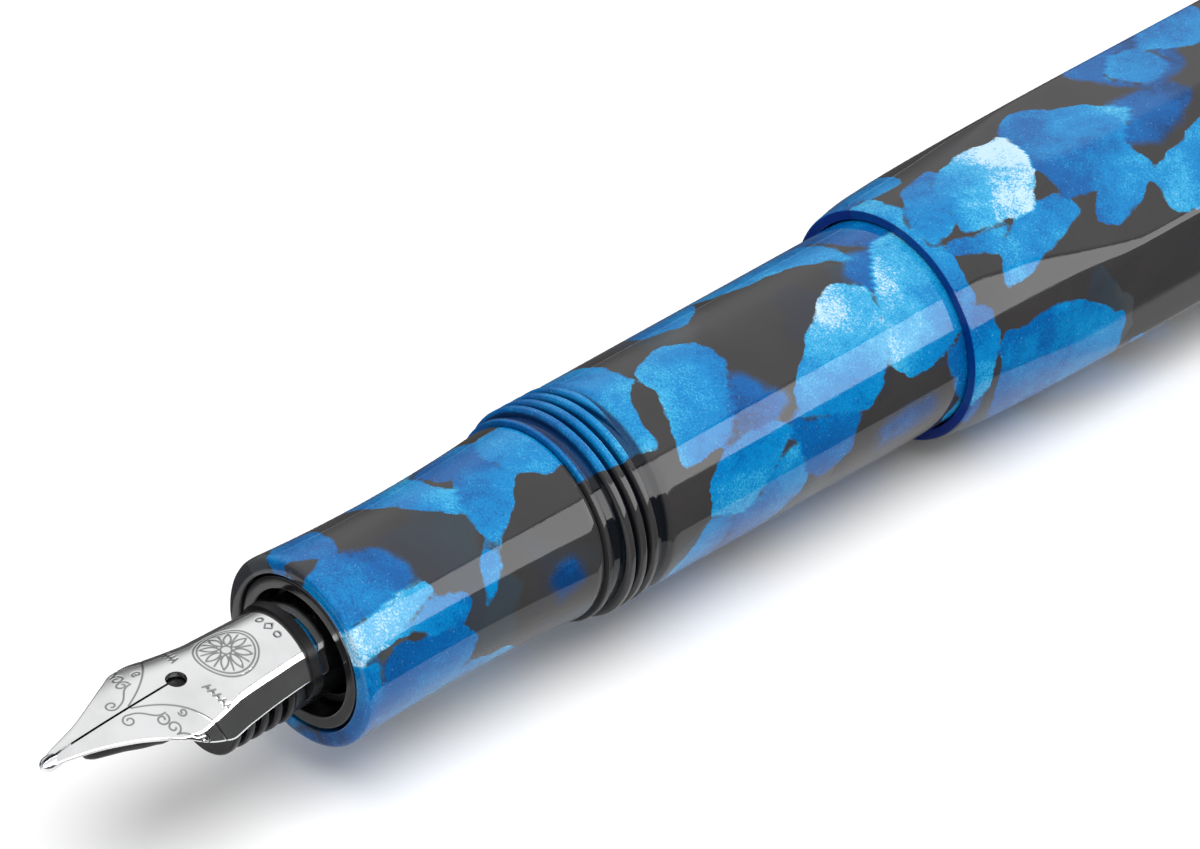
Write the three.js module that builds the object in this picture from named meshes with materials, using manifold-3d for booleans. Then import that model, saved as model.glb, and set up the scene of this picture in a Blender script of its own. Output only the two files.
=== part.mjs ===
// A pocket fountain pen with an eight-sided cap, uncapped, with the cap posted on the barrel.
//
// Row frame, millimetres: +X runs along the pen's axis from the nib to the cap's end, +Z is up, and
// the origin is on the table under the middle of the pen's length. Each piece is drawn in the pen's
// own frame, where X is the station along the axis, measured from the joint between the section and
// the barrel, and the axis is Y = Z = 0. The pen group then carries every piece to its place.

import * as THREE from "three";
import { mergeVertices } from "three/addons/utils/BufferGeometryUtils.js";
import Module from "manifold-3d";

const wasm = await Module();
wasm.setup();

// ---------------------------------------------------------------- driving dimensions

const CAP = {
  flats: 13.5, // across flats
  mouth: 23.9, // station of the posted cap's mouth
  length: 62,
  mouthRadius: 6.2,
  lipRadius: 6.5, // where the rounded lip ends and the flats begin
  lipLength: 2.4,
  scallopEnd: 13, // distance from the mouth at which the corners reach full size
  boreRadius: 5.65,
  threadStart: 22.6, // depths from the mouth
  threadEnd: 27,
  threadCrest: 5.1,
  threadRoot: 5.5,
  innerRadius: 5.05,
  wall: 2.6, // thickness of the closed end
  endChamfer: 0.5,
  mouthChamfer: { depth: 0.12, length: 0.35 },
  taper: { middle: 6, end: 13, shy: 0.06 }, // the flats spread a little over this length behind the lip
  cornerSpare: 0.05, // how far the turned blank clears the octagon's corners
  cornerRound: 0.6,
  threadLead: { cone: 0.5, first: 0.6 },
  ridges: 4,
};
const LINER = { depth: 42, radius: 4.95, bore: 4.4, wall: 0.9, chamfer: 0.15, endGap: 0.1 };
const FINIAL = {
  recess: 1.2,
  radius: 4.5,
  gap: 0.05,
  bezelBore: 3.85,
  bezelBevel: { outer: 0.1, face: 0.15, inner: 0.2 },
  discGap: 0.06,
  discEdge: 0.45, // depths below the cap's end
  discShoulder: 0.3,
  discCrown: 0.25,
  discDome: 0.7, // share of the radius that the domed middle takes
  discPocket: 0.45,
  screw: 0.95,
  screwDepth: 0.4,
  head: 2.1,
  headHeight: 0.7,
  headChamfer: 0.25,
};
const BARREL = {
  length: 70,
  rootRadius: 5.08,
  crestRadius: 5.48,
  pitch: 0.75,
  crests: 4,
  threadStart: 0.35,
  mouthChamfer: { depth: 0.1, length: 0.2 },
  runOut: 0.35,
  frontRadius: 5.42, // straight behind the thread
  shoulderStation: 14,
  shoulderRadius: 5.5,
  bellyRadius: 5.57,
  bellyStation: 26,
  taperStation: 44,
  taperRadius: 5.02,
  tailRadius: 4.18,
  tailStation: 67,
  tailRound: 1.4,
  tailFlat: 1.5, // how far inside the tail's radius its rounded edge is centred
  tailArc: 75, // degrees
  sealBore: 4.72,
  sealDepth: 1.4,
  threadBore: 4.62,
  threadDepth: 8,
  bore: 4.05,
  boreDepth: 46,
  boreCone: { length: 4, drop: 0.35 },
  tailBore: 3.0,
  floor: 66,
  floorCone: 0.8,
};
const SECTION = {
  length: 14.85,
  waistRadius: 4.63,
  waistStation: -8.5,
  flare: 0.0053, // growth of the radius with the square of the distance from the waist
  mouthRound: 0.55,
  bore: 3.98,
  rear: -0.05,
  rearRound: { length: 0.3, depth: 0.2 },
  rings: 9,
};
const CORE = {
  front: -14.8,
  radius: 3.86,
  noseBore: 3.22,
  web: -4, // station of the wall that carries the nipple
  webThickness: 1,
  cartridgeBore: 3.74,
  neckRadius: 4.2,
  threadRadius: 4.55,
  threadStart: 1.5,
  ridges: 7,
  ridgeFoot: 0.05,
  chamfer: 0.12,
  end: 7.6,
  nippleRadius: 1.25,
  nippleTaper: 0.15,
  nippleBore: 0.8,
  nippleEnd: 1.4,
};
const ORING = { station: 0.72, tube: 0.22 };
const CARTRIDGE = {
  mouth: -2.4,
  length: 38,
  neckRadius: 2.1,
  neckBore: 1.35,
  neckLength: 3.2,
  radius: 3.65,
  wall: 0.55,
  shoulderLength: 1.2,
  endRound: 1,
  innerChamfer: 0.6,
  innerShoulder: { start: 0.6, end: 1.5 },
  ballRadius: 1.15,
  ballFromEnd: 6,
  ballGap: 0.1,
};
const HOUSING = {
  front: -16.2,
  rear: -5.2,
  radius: 3.12,
  bore: 2.9,
  chamfer: 0.1,
  floor: 1,
  postBore: 1.3,
};
const NIB = {
  roll: 7, // degrees: how far the unit is screwed round past upright
  rear: -9,
  tip: -29.75,
  thickness: 0.3,
  hole: -22.3,
  holeRadius: 0.5,
  slit: 0.12,
  pelletEnd: -30.1,
  pelletRadius: 0.34,
  pelletDrop: 0.3, // from the crown at the tip to the pellet's middle
};
// The sheet's outline, from the tip to the housing: station, height of the crown, half width and
// how far the edge lies below the crown.
const NIB_STATIONS = [
  { at: NIB.tip, crown: 1.98, half: 0.3, drop: 0.14 },
  { at: -29, crown: 2.17, half: 0.46, drop: 0.18 },
  { at: -27.5, crown: 2.33, half: 0.96, drop: 0.26 },
  { at: -26, crown: 2.46, half: 1.48, drop: 0.34 },
  { at: -24.8, crown: 2.54, half: 2.1, drop: 0.5 },
  { at: -23.9, crown: 2.59, half: 2.62, drop: 0.82 },
  { at: -23, crown: 2.64, half: 3.06, drop: 1.32 },
  { at: -22, crown: 2.68, half: 3.2, drop: 1.82 },
  { at: -21, crown: 2.72, half: 3.1, drop: 1.8 },
  { at: -20, crown: 2.76, half: 2.87, drop: 1.62 },
  { at: -18, crown: 2.8, half: 2.72, drop: 1.66 },
  { at: HOUSING.front, crown: 2.82, half: 2.63, drop: 1.77 },
  { at: NIB.rear, crown: 2.82, half: 2.63, drop: 1.77 },
];
const FEED = {
  tongue: -27.8,
  gap: 0.12, // between the feed's top and the nib's underside
  bodyRadius: 2.3,
  finRadius: 2.35,
  fins: 5,
  finPitch: 0.9,
  finThickness: 0.42,
  firstFin: -20.6,
  finTop: 1.1, // height above the axis where the fins stop
  width: 0.62, // share of the nib's width
  lip: 0.08, // height of the feed's upright sides
  shankLead: 0.6, // length of the round shank that shows ahead of the housing
  rearGap: 0.3, // between the shank and the housing's floor
  postRadius: 0.72,
  postEnd: -3.4,
};
// How deep the feed's belly hangs below its sides, along the tongue.
const FEED_DEPTHS = [
  { at: FEED.tongue, depth: 0.15 },
  { at: -27, depth: 0.5 },
  { at: -25, depth: 0.95 },
  { at: -23, depth: 1.6 },
  { at: -21, depth: 2.2 },
  { at: HOUSING.front, depth: 3.4 },
];

const AXIS_HEIGHT = CAP.flats / 2;
const CAP_END = CAP.mouth + CAP.length;
const SEAM_X = -(CAP_END + NIB.pelletEnd) / 2;

const SIDES = 32; // facets round an outer surface: a multiple of eight, so they meet the cap's flats
const INNER_SIDES = 24;
const SMALL_SIDES = 16;
const BALL_SIDES = [16, 10];
const FIT = 0.02; // gap left between faces that touch
const SPARE = 1; // how far a cutting solid reaches past the piece it cuts

// ---------------------------------------------------------------- finishes

const finish = (color, roughness, metalness = 0) =>
  new THREE.MeshStandardMaterial({ color, roughness, metalness });
const RESIN = finish(0x24486f, 0.12);
const BLACK_PLASTIC = finish(0x111214, 0.3);
const NIB_STEEL = finish(0xd8dadd, 0.2, 1);
const PELLET = finish(0xb9bcc2, 0.35, 1);
const RUBBER = finish(0x15161a, 0.8);
const CARTRIDGE_BLUE = finish(0x2a3a8a, 0.35);
const CHROME = finish(0xc9ccd1, 0.12, 1);
const ENAMEL = finish(0x14386e, 0.25);

// ---------------------------------------------------------------- solids

// A closed manifold solid from a three.js geometry.
function solidOf(geometry) {
  const bare = new THREE.BufferGeometry();
  bare.setAttribute("position", geometry.getAttribute("position"));
  bare.setIndex(geometry.index);
  const merged = mergeVertices(bare, 1e-4);
  const mesh = new wasm.Mesh({
    numProp: 3,
    vertProperties: merged.getAttribute("position").array,
    triVerts: new Uint32Array(merged.index.array),
  });
  return new wasm.Manifold(mesh);
}

// The three.js geometry of a manifold solid.
function geometryOf(solid) {
  const mesh = solid.getMesh();
  const geometry = new THREE.BufferGeometry();
  geometry.setAttribute("position", new THREE.BufferAttribute(mesh.vertProperties, 3));
  geometry.setIndex(new THREE.BufferAttribute(mesh.triVerts, 1));
  return geometry;
}

// A solid of revolution about the pen's axis. The outline lists [station, radius] pairs: stations
// grow along an outside wall and fall along a bore. A closed outline makes a ring or a tube.
function turned(outline, { sides = SIDES, closed = false, phase = 0 } = {}) {
  const points = outline.map(([station, radius]) => new THREE.Vector2(radius, station));
  if (closed) points.push(points[0].clone());
  return new THREE.LatheGeometry(points, sides, phase).rotateZ(-Math.PI / 2);
}

// Points on an arc of the outline, from one angle to another in degrees. Zero points along the
// axis towards the cap, and ninety points outwards.
function arc(station, radius, size, from, to, steps = 4) {
  return Array.from({ length: steps + 1 }, (_, i) => {
    const angle = THREE.MathUtils.degToRad(from + ((to - from) * i) / steps);
    return [station + size * Math.cos(angle), radius + size * Math.sin(angle)];
  });
}

// Evenly spaced V-shaped ridges along an outline, between two stations.
function ridges(start, count, pitch, root, crest) {
  return Array.from({ length: count }, (_, i) => {
    const at = start + i * pitch;
    return [
      [at + pitch * 0.1, root],
      [at + pitch * 0.42, crest],
      [at + pitch * 0.58, crest],
      [at + pitch * 0.9, root],
    ];
  }).flat();
}

// A closed surface through rings of points that all have the same number of points. Each ring runs
// anticlockwise as seen from the far end of the row of rings.
function lofted(rings) {
  const count = rings[0].length;
  const positions = rings.flat(2);
  const index = [];
  for (let i = 0; i + 1 < rings.length; i++) {
    for (let j = 0; j < count; j++) {
      const a = i * count + j;
      const b = i * count + ((j + 1) % count);
      index.push(a, b, b + count, a, b + count, a + count);
    }
  }
  // Each end is a strip between the two halves of the ring, which face each other.
  const cap = (base, flip) => {
    for (let j = 0; j < count / 2 - 1; j++) {
      const [a, b, c, d] = [j, j + 1, count - 2 - j, count - 1 - j].map((k) => base + k);
      const faces = a === d || b === c ? [[a, b, d]] : [[a, b, c], [a, c, d]];
      faces.forEach(([p, q, r]) => index.push(...(flip ? [p, r, q] : [p, q, r])));
    }
  };
  cap(0, true);
  cap((rings.length - 1) * count, false);
  const geometry = new THREE.BufferGeometry();
  geometry.setAttribute("position", new THREE.Float32BufferAttribute(positions, 3));
  geometry.setIndex(index);
  return geometry;
}

function box(from, to) {
  const [low, high] = [new THREE.Vector3(...from), new THREE.Vector3(...to)];
  const size = high.clone().sub(low);
  const centre = low.add(high).multiplyScalar(0.5);
  return new THREE.BoxGeometry(size.x, size.y, size.z).translate(centre.x, centre.y, centre.z);
}

const pen = new THREE.Group();
pen.position.set(SEAM_X, 0, AXIS_HEIGHT);
const nibUnit = new THREE.Group();
nibUnit.rotation.x = THREE.MathUtils.degToRad(NIB.roll);
pen.add(nibUnit);

function piece(name, geometry, material, group = pen) {
  const mesh = new THREE.Mesh(geometry, material);
  mesh.name = name;
  group.add(mesh);
}

// ---------------------------------------------------------------- nib unit

// The sheet's measures at any station, between the listed ones.
function nibAt(station) {
  const next = Math.max(1, NIB_STATIONS.findIndex((s) => s.at >= station));
  const [from, to] = [NIB_STATIONS[next - 1], NIB_STATIONS[next]];
  const share = THREE.MathUtils.clamp((station - from.at) / (to.at - from.at), 0, 1);
  const mix = (key) => THREE.MathUtils.lerp(from[key], to[key], share);
  return { crown: mix("crown"), half: mix("half"), drop: mix("drop") };
}

// Points across the sheet at a station, on an arc that lies `depth` below its upper face.
function nibArc(station, depth, spread = 1, steps = 10) {
  const { crown, half, drop } = nibAt(station);
  const radius = (half * half + drop * drop) / (2 * drop);
  const reach = 2 * Math.atan(drop / half) * spread;
  return Array.from({ length: steps + 1 }, (_, i) => {
    const angle = reach * ((2 * i) / steps - 1);
    const out = radius - depth;
    return [station, out * Math.sin(angle), crown - radius + out * Math.cos(angle)];
  });
}

function nibSheet() {
  const rings = NIB_STATIONS.map(({ at }) => [
    ...nibArc(at, 0).reverse(),
    ...nibArc(at, NIB.thickness),
  ]);
  const top = NIB_STATIONS.at(-1).crown + SPARE;
  const slit = box([NIB.pelletEnd - SPARE, -NIB.slit / 2, 0], [NIB.hole, NIB.slit / 2, top]);
  const hole = new THREE.CylinderGeometry(NIB.holeRadius, NIB.holeRadius, top, SMALL_SIDES);
  hole.rotateX(Math.PI / 2).translate(NIB.hole, 0, top / 2);
  return solidOf(lofted(rings)).subtract(solidOf(slit)).subtract(solidOf(hole));
}

// The pellet under the tip, as one half on each side of the slit.
function pelletHalf(side) {
  const rear = NIB.tip - FIT;
  const ball = new THREE.SphereGeometry(1, ...BALL_SIDES);
  ball.scale(rear - NIB.pelletEnd, NIB.pelletRadius, NIB.pelletRadius);
  ball.translate(rear, 0, NIB_STATIONS[0].crown - NIB.pelletDrop);
  const [near, far] = [NIB.slit / 2, SPARE];
  const half = box(
    [NIB.pelletEnd - SPARE, side > 0 ? near : -far, 0],
    [rear, side > 0 ? far : -near, NIB_STATIONS[0].crown + SPARE],
  );
  return solidOf(ball).intersect(solidOf(half));
}

function feedBody() {
  const steps = 8;
  const loop = ({ at, depth }) => {
    const upper = nibArc(at, NIB.thickness + FEED.gap, FEED.width, steps).reverse();
    const [, side, height] = upper.at(-1);
    const belly = Array.from({ length: steps + 1 }, (_, i) => {
      const angle = (Math.PI * i) / steps;
      return [at, side * Math.cos(angle), height - FEED.lip - depth * Math.sin(angle)];
    });
    return [...upper, ...belly];
  };
  const tongue = lofted(FEED_DEPTHS.map(loop));
  const reach = FEED.finRadius + SPARE;
  const lower = box([FEED.tongue, -reach, -reach], [0, reach, FEED.finTop]);
  const fins = Array.from({ length: FEED.fins }, (_, i) => {
    const at = FEED.firstFin + i * FEED.finPitch;
    return solidOf(
      turned([[at, 0], [at, FEED.finRadius], [at + FEED.finThickness, FEED.finRadius],
        [at + FEED.finThickness, 0]], { sides: INNER_SIDES }),
    ).intersect(solidOf(lower));
  });
  const rear = HOUSING.rear - HOUSING.floor - FEED.rearGap;
  const lead = HOUSING.front - FEED.shankLead;
  const shank = turned([
    [lead, 0],
    [lead, FEED.bodyRadius],
    [rear, FEED.bodyRadius],
    [rear, FEED.postRadius],
    [FEED.postEnd, FEED.postRadius],
    [FEED.postEnd, 0],
  ], { sides: INNER_SIDES });
  return [solidOf(shank), ...fins].reduce((body, part) => body.add(part), solidOf(tongue));
}

piece("nib", geometryOf(nibSheet()), NIB_STEEL, nibUnit);
piece("nib_tip_left", geometryOf(pelletHalf(1)), PELLET, nibUnit);
piece("nib_tip_right", geometryOf(pelletHalf(-1)), PELLET, nibUnit);
piece("feed", geometryOf(feedBody()), BLACK_PLASTIC, nibUnit);
piece("nib_housing", turned([
  [HOUSING.front, HOUSING.bore],
  [HOUSING.front, HOUSING.radius - HOUSING.chamfer],
  [HOUSING.front + HOUSING.chamfer, HOUSING.radius],
  [HOUSING.rear, HOUSING.radius],
  [HOUSING.rear, HOUSING.postBore],
  [HOUSING.rear - HOUSING.floor, HOUSING.postBore],
  [HOUSING.rear - HOUSING.floor, HOUSING.bore],
], { sides: INNER_SIDES, closed: true }), BLACK_PLASTIC, nibUnit);

// ---------------------------------------------------------------- section

function gripRadius(station) {
  return SECTION.waistRadius + SECTION.flare * (station - SECTION.waistStation) ** 2;
}

const sectionFront = -SECTION.length;
const roundStation = sectionFront + SECTION.mouthRound;
const gripEnd = SECTION.rear - SECTION.rearRound.length;
const gripStations = Array.from({ length: SECTION.rings }, (_, i) =>
  THREE.MathUtils.lerp(roundStation, gripEnd, (i + 1) / SECTION.rings));
piece("section_shell", turned([
  [sectionFront, SECTION.bore],
  ...arc(roundStation, gripRadius(roundStation) - SECTION.mouthRound, SECTION.mouthRound, 180, 90),
  ...gripStations.map((station) => [station, gripRadius(station)]),
  [SECTION.rear, gripRadius(gripEnd) - SECTION.rearRound.depth],
  [SECTION.rear, SECTION.bore],
], { closed: true }), RESIN);

const coreRoot = CORE.neckRadius + CORE.ridgeFoot;
const coreThread = ridges(CORE.threadStart, CORE.ridges, BARREL.pitch, coreRoot, CORE.threadRadius);
piece("section_core", turned([
  [CORE.front, CORE.noseBore],
  [CORE.front, CORE.radius - CORE.chamfer],
  [CORE.front + CORE.chamfer, CORE.radius],
  [-FIT, CORE.radius],
  [FIT, CORE.neckRadius],
  [CORE.threadStart, CORE.neckRadius],
  ...coreThread,
  [CORE.end, CORE.neckRadius],
  [CORE.end, CORE.cartridgeBore],
  [CORE.web + CORE.webThickness, CORE.cartridgeBore],
  [CORE.web + CORE.webThickness, CORE.nippleRadius],
  [CORE.nippleEnd, CORE.nippleRadius - CORE.nippleTaper],
  [CORE.nippleEnd, CORE.nippleBore],
  [CORE.web, CORE.nippleBore],
  [CORE.web, CORE.noseBore],
], { sides: INNER_SIDES, closed: true }), BLACK_PLASTIC);

piece("section_oring", turned(
  arc(ORING.station, CORE.neckRadius + FIT + ORING.tube, ORING.tube, 180, -180, 8).slice(0, -1),
  { sides: INNER_SIDES, closed: true },
), RUBBER);

// ---------------------------------------------------------------- ink cartridge

const cartridgeEnd = CARTRIDGE.mouth + CARTRIDGE.length;
const shoulder = CARTRIDGE.mouth + CARTRIDGE.neckLength;
const cartridgeInner = CARTRIDGE.radius - CARTRIDGE.wall;
const cartridgeFloor = cartridgeEnd - CARTRIDGE.wall;
const endCentre = cartridgeEnd - CARTRIDGE.endRound;
piece("cartridge_shell", turned([
  [CARTRIDGE.mouth, CARTRIDGE.neckBore],
  [CARTRIDGE.mouth, CARTRIDGE.neckRadius],
  [shoulder, CARTRIDGE.neckRadius],
  [shoulder + CARTRIDGE.shoulderLength, CARTRIDGE.radius],
  ...arc(endCentre, CARTRIDGE.radius - CARTRIDGE.endRound, CARTRIDGE.endRound, 90, 0),
  [cartridgeEnd, 0],
  [cartridgeFloor, 0],
  [cartridgeFloor, cartridgeInner - CARTRIDGE.innerChamfer],
  [cartridgeFloor - CARTRIDGE.innerChamfer, cartridgeInner],
  [shoulder + CARTRIDGE.innerShoulder.end, cartridgeInner],
  [shoulder + CARTRIDGE.innerShoulder.start, CARTRIDGE.neckBore],
], { sides: INNER_SIDES, closed: true }), CARTRIDGE_BLUE);

const ball = new THREE.SphereGeometry(CARTRIDGE.ballRadius, ...BALL_SIDES);
const ballHeight = CARTRIDGE.ballRadius + CARTRIDGE.ballGap - cartridgeInner;
ball.translate(cartridgeEnd - CARTRIDGE.ballFromEnd, 0, ballHeight);
piece("cartridge_ball", ball, NIB_STEEL);

// ---------------------------------------------------------------- barrel

const capThread = ridges(
  BARREL.threadStart, BARREL.crests, BARREL.pitch, BARREL.rootRadius, BARREL.crestRadius);
const threadRunOut = BARREL.threadStart + BARREL.crests * BARREL.pitch + BARREL.runOut;
const tailCentre = BARREL.length - BARREL.tailRound;
piece("barrel_shell", turned([
  [0, BARREL.sealBore],
  [0, BARREL.rootRadius - BARREL.mouthChamfer.depth],
  [BARREL.mouthChamfer.length, BARREL.rootRadius],
  ...capThread,
  [threadRunOut, BARREL.rootRadius],
  [threadRunOut + BARREL.runOut, BARREL.frontRadius],
  [BARREL.shoulderStation, BARREL.shoulderRadius],
  [BARREL.bellyStation, BARREL.bellyRadius],
  [BARREL.taperStation, BARREL.taperRadius],
  [BARREL.tailStation, BARREL.tailRadius],
  ...arc(tailCentre, BARREL.tailRadius - BARREL.tailFlat, BARREL.tailRound, BARREL.tailArc, 0),
  [BARREL.length, 0],
  [BARREL.floor, 0],
  [BARREL.floor - BARREL.floorCone, BARREL.tailBore],
  [BARREL.boreDepth + BARREL.boreCone.length, BARREL.bore - BARREL.boreCone.drop],
  [BARREL.boreDepth, BARREL.bore],
  [BARREL.threadDepth, BARREL.bore],
  [BARREL.threadDepth, BARREL.threadBore],
  [BARREL.sealDepth, BARREL.threadBore],
  [BARREL.sealDepth, BARREL.sealBore],
], { closed: true }), RESIN);

// ---------------------------------------------------------------- cap

function capShell() {
  const corner = 1 / Math.cos(Math.PI / 8);
  const [flat, lip] = [CAP.flats / 2, CAP.mouth + CAP.lipLength];
  const octagon = turned([
    [CAP.mouth - SPARE, 0],
    [CAP.mouth - SPARE, CAP.lipRadius * corner],
    [lip, (CAP.lipRadius + FIT) * corner],
    [lip + CAP.taper.middle, (flat - CAP.taper.shy) * corner],
    [lip + CAP.taper.end, flat * corner],
    [CAP_END - CAP.endChamfer, flat * corner],
    [CAP_END, (flat - CAP.endChamfer) * corner],
    [CAP_END, 0],
  ], { sides: 8, phase: Math.PI / 8 });
  const corners = flat * corner + CAP.cornerSpare;
  const round = turned([
    [CAP.mouth, 0],
    [CAP.mouth, CAP.mouthRadius - CAP.mouthChamfer.depth],
    [CAP.mouth + CAP.mouthChamfer.length, CAP.mouthRadius],
    [lip, CAP.lipRadius],
    [CAP.mouth + CAP.scallopEnd, corners],
    [CAP_END - CAP.cornerRound, corners],
    [CAP_END, corners - CAP.cornerRound],
    [CAP_END, 0],
  ]);
  const depth = (distance) => CAP.mouth + distance;
  const first = depth(CAP.threadStart) + CAP.threadLead.first;
  const grooves = ridges(first, CAP.ridges, BARREL.pitch, CAP.threadCrest, CAP.threadRoot);
  const bore = turned([
    [CAP.mouth - SPARE, 0],
    [CAP.mouth - SPARE, CAP.boreRadius],
    [depth(CAP.threadStart), CAP.boreRadius],
    [depth(CAP.threadStart) + CAP.threadLead.cone, CAP.threadCrest],
    ...grooves,
    [depth(CAP.threadEnd), CAP.innerRadius],
    [CAP_END - CAP.wall, CAP.innerRadius],
    [CAP_END - CAP.wall, 0],
  ]);
  const recess = turned([
    [CAP_END - FINIAL.recess, 0],
    [CAP_END - FINIAL.recess, FINIAL.radius + FINIAL.gap],
    [CAP_END + SPARE, FINIAL.radius + FINIAL.gap],
    [CAP_END + SPARE, 0],
  ]);
  const screwHole = turned([
    [CAP_END - CAP.wall - SPARE, 0],
    [CAP_END - CAP.wall - SPARE, FINIAL.screw + 2 * FINIAL.gap],
    [CAP_END, FINIAL.screw + 2 * FINIAL.gap],
    [CAP_END, 0],
  ], { sides: SMALL_SIDES });
  return [bore, recess, screwHole].reduce(
    (shell, cut) => shell.subtract(solidOf(cut)),
    solidOf(octagon).intersect(solidOf(round)),
  );
}
piece("cap_shell", geometryOf(capShell()), RESIN);

const linerRim = CAP.mouth + LINER.depth;
const linerEnd = CAP_END - CAP.wall - LINER.endGap;
const linerFloor = linerEnd - LINER.wall;
piece("cap_liner", turned([
  [linerRim, LINER.bore],
  [linerRim, LINER.radius - LINER.chamfer],
  [linerRim + LINER.chamfer, LINER.radius],
  [linerEnd, LINER.radius],
  [linerEnd, FINIAL.screw + 3 * FINIAL.gap],
  [linerFloor, FINIAL.screw + 3 * FINIAL.gap],
  [linerFloor, LINER.bore],
], { sides: INNER_SIDES, closed: true }), BLACK_PLASTIC);

const seat = CAP_END - FINIAL.recess + FIT;
piece("finial_bezel", turned([
  [seat, FINIAL.bezelBore],
  [seat, FINIAL.radius],
  [CAP_END - FINIAL.bezelBevel.outer, FINIAL.radius],
  [CAP_END, FINIAL.radius - FINIAL.bezelBevel.face],
  [CAP_END, FINIAL.bezelBore + FINIAL.bezelBevel.face],
  [CAP_END - FINIAL.bezelBevel.inner, FINIAL.bezelBore],
], { sides: INNER_SIDES, closed: true }), CHROME);
const discRadius = FINIAL.bezelBore - FINIAL.discGap;
piece("finial_disc", turned([
  [seat, FINIAL.screw + FINIAL.gap],
  [seat, discRadius],
  [CAP_END - FINIAL.discEdge, discRadius],
  [CAP_END - FINIAL.discShoulder, discRadius * FINIAL.discDome],
  [CAP_END - FINIAL.discCrown, 0],
  [seat + FINIAL.discPocket, 0],
  [seat + FINIAL.discPocket, FINIAL.screw + FINIAL.gap],
], { sides: INNER_SIDES, closed: true }), ENAMEL);
const headFace = linerFloor - FIT;
piece("finial_screw", turned([
  [headFace - FINIAL.headHeight, 0],
  [headFace - FINIAL.headHeight, FINIAL.head - FINIAL.headChamfer],
  [headFace - FINIAL.headHeight + FINIAL.headChamfer, FINIAL.head],
  [headFace, FINIAL.head],
  [headFace, FINIAL.screw],
  [seat + FINIAL.screwDepth, FINIAL.screw],
  [seat + FINIAL.screwDepth, 0],
], { sides: SMALL_SIDES }), CHROME);

export default pen;
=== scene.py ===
"""Fine model of a pocket fountain pen with an eight-sided resin cap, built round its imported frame.

Every form is drawn in the pen's own frame, in millimetres: X is the station along the axis,
measured from the joint between the section and the barrel, and the axis is Y = Z = 0. Publishing a
form carries it to the frame, in metres.
"""

from __future__ import annotations

import logging
import math
from collections.abc import Sequence
from dataclasses import dataclass, field
from enum import Enum
from typing import Any

import bmesh
import bpy
import numpy as np
from mathutils import Euler, Matrix, Vector


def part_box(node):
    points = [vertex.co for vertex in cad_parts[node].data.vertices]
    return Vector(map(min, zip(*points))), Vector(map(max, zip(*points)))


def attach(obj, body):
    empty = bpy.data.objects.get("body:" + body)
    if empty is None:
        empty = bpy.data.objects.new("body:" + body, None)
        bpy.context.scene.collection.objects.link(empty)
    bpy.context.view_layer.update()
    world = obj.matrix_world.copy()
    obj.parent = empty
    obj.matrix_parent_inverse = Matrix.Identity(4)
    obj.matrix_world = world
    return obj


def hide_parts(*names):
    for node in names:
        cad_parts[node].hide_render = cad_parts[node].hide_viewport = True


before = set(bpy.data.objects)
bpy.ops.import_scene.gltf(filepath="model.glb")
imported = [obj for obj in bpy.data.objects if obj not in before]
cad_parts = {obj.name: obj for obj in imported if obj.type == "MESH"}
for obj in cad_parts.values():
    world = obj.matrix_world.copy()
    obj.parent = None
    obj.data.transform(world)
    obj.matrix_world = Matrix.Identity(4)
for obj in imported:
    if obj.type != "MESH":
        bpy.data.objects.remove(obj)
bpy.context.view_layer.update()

log = logging.getLogger("fountain_pen")
MM = 0.001
Point = tuple[float, float]
Colour = tuple[float, float, float]


# ---- forms


@dataclass(frozen=True)
class Corner:
    """A corner of a turned outline.

    Attributes:
        station: Place along the axis.
        radius: Distance from the axis.
        ease: Length trimmed off each side of the corner to round it.
    """

    station: float
    radius: float
    ease: float = 0.0


def eased(corners: Sequence[Corner], closed: bool, steps: int = 6) -> list[Point]:
    """Rounds the corners of an outline.

    Args:
        corners: The outline's corners, in order.
        closed: Whether the last corner joins the first.
        steps: Spans in each rounded corner.

    Returns:
        The outline as stations and radii.
    """
    outline: list[Point] = []
    for i, corner in enumerate(corners):
        here = np.array([corner.station, corner.radius])
        inner = closed or 0 < i < len(corners) - 1
        if corner.ease <= 0 or not inner:
            outline.append((corner.station, corner.radius))
            continue
        before = corners[i - 1]
        after = corners[(i + 1) % len(corners)]
        sides = []
        for other in (before, after):
            away = np.array([other.station, other.radius]) - here
            length = float(np.linalg.norm(away))
            sides.append(here + away / length * min(corner.ease, 0.48 * length))
        for t in np.linspace(0, 1, steps + 1):
            spot = (1 - t) ** 2 * sides[0] + 2 * t * (1 - t) * here + t**2 * sides[1]
            outline.append((float(spot[0]), float(spot[1])))
    return outline


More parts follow.
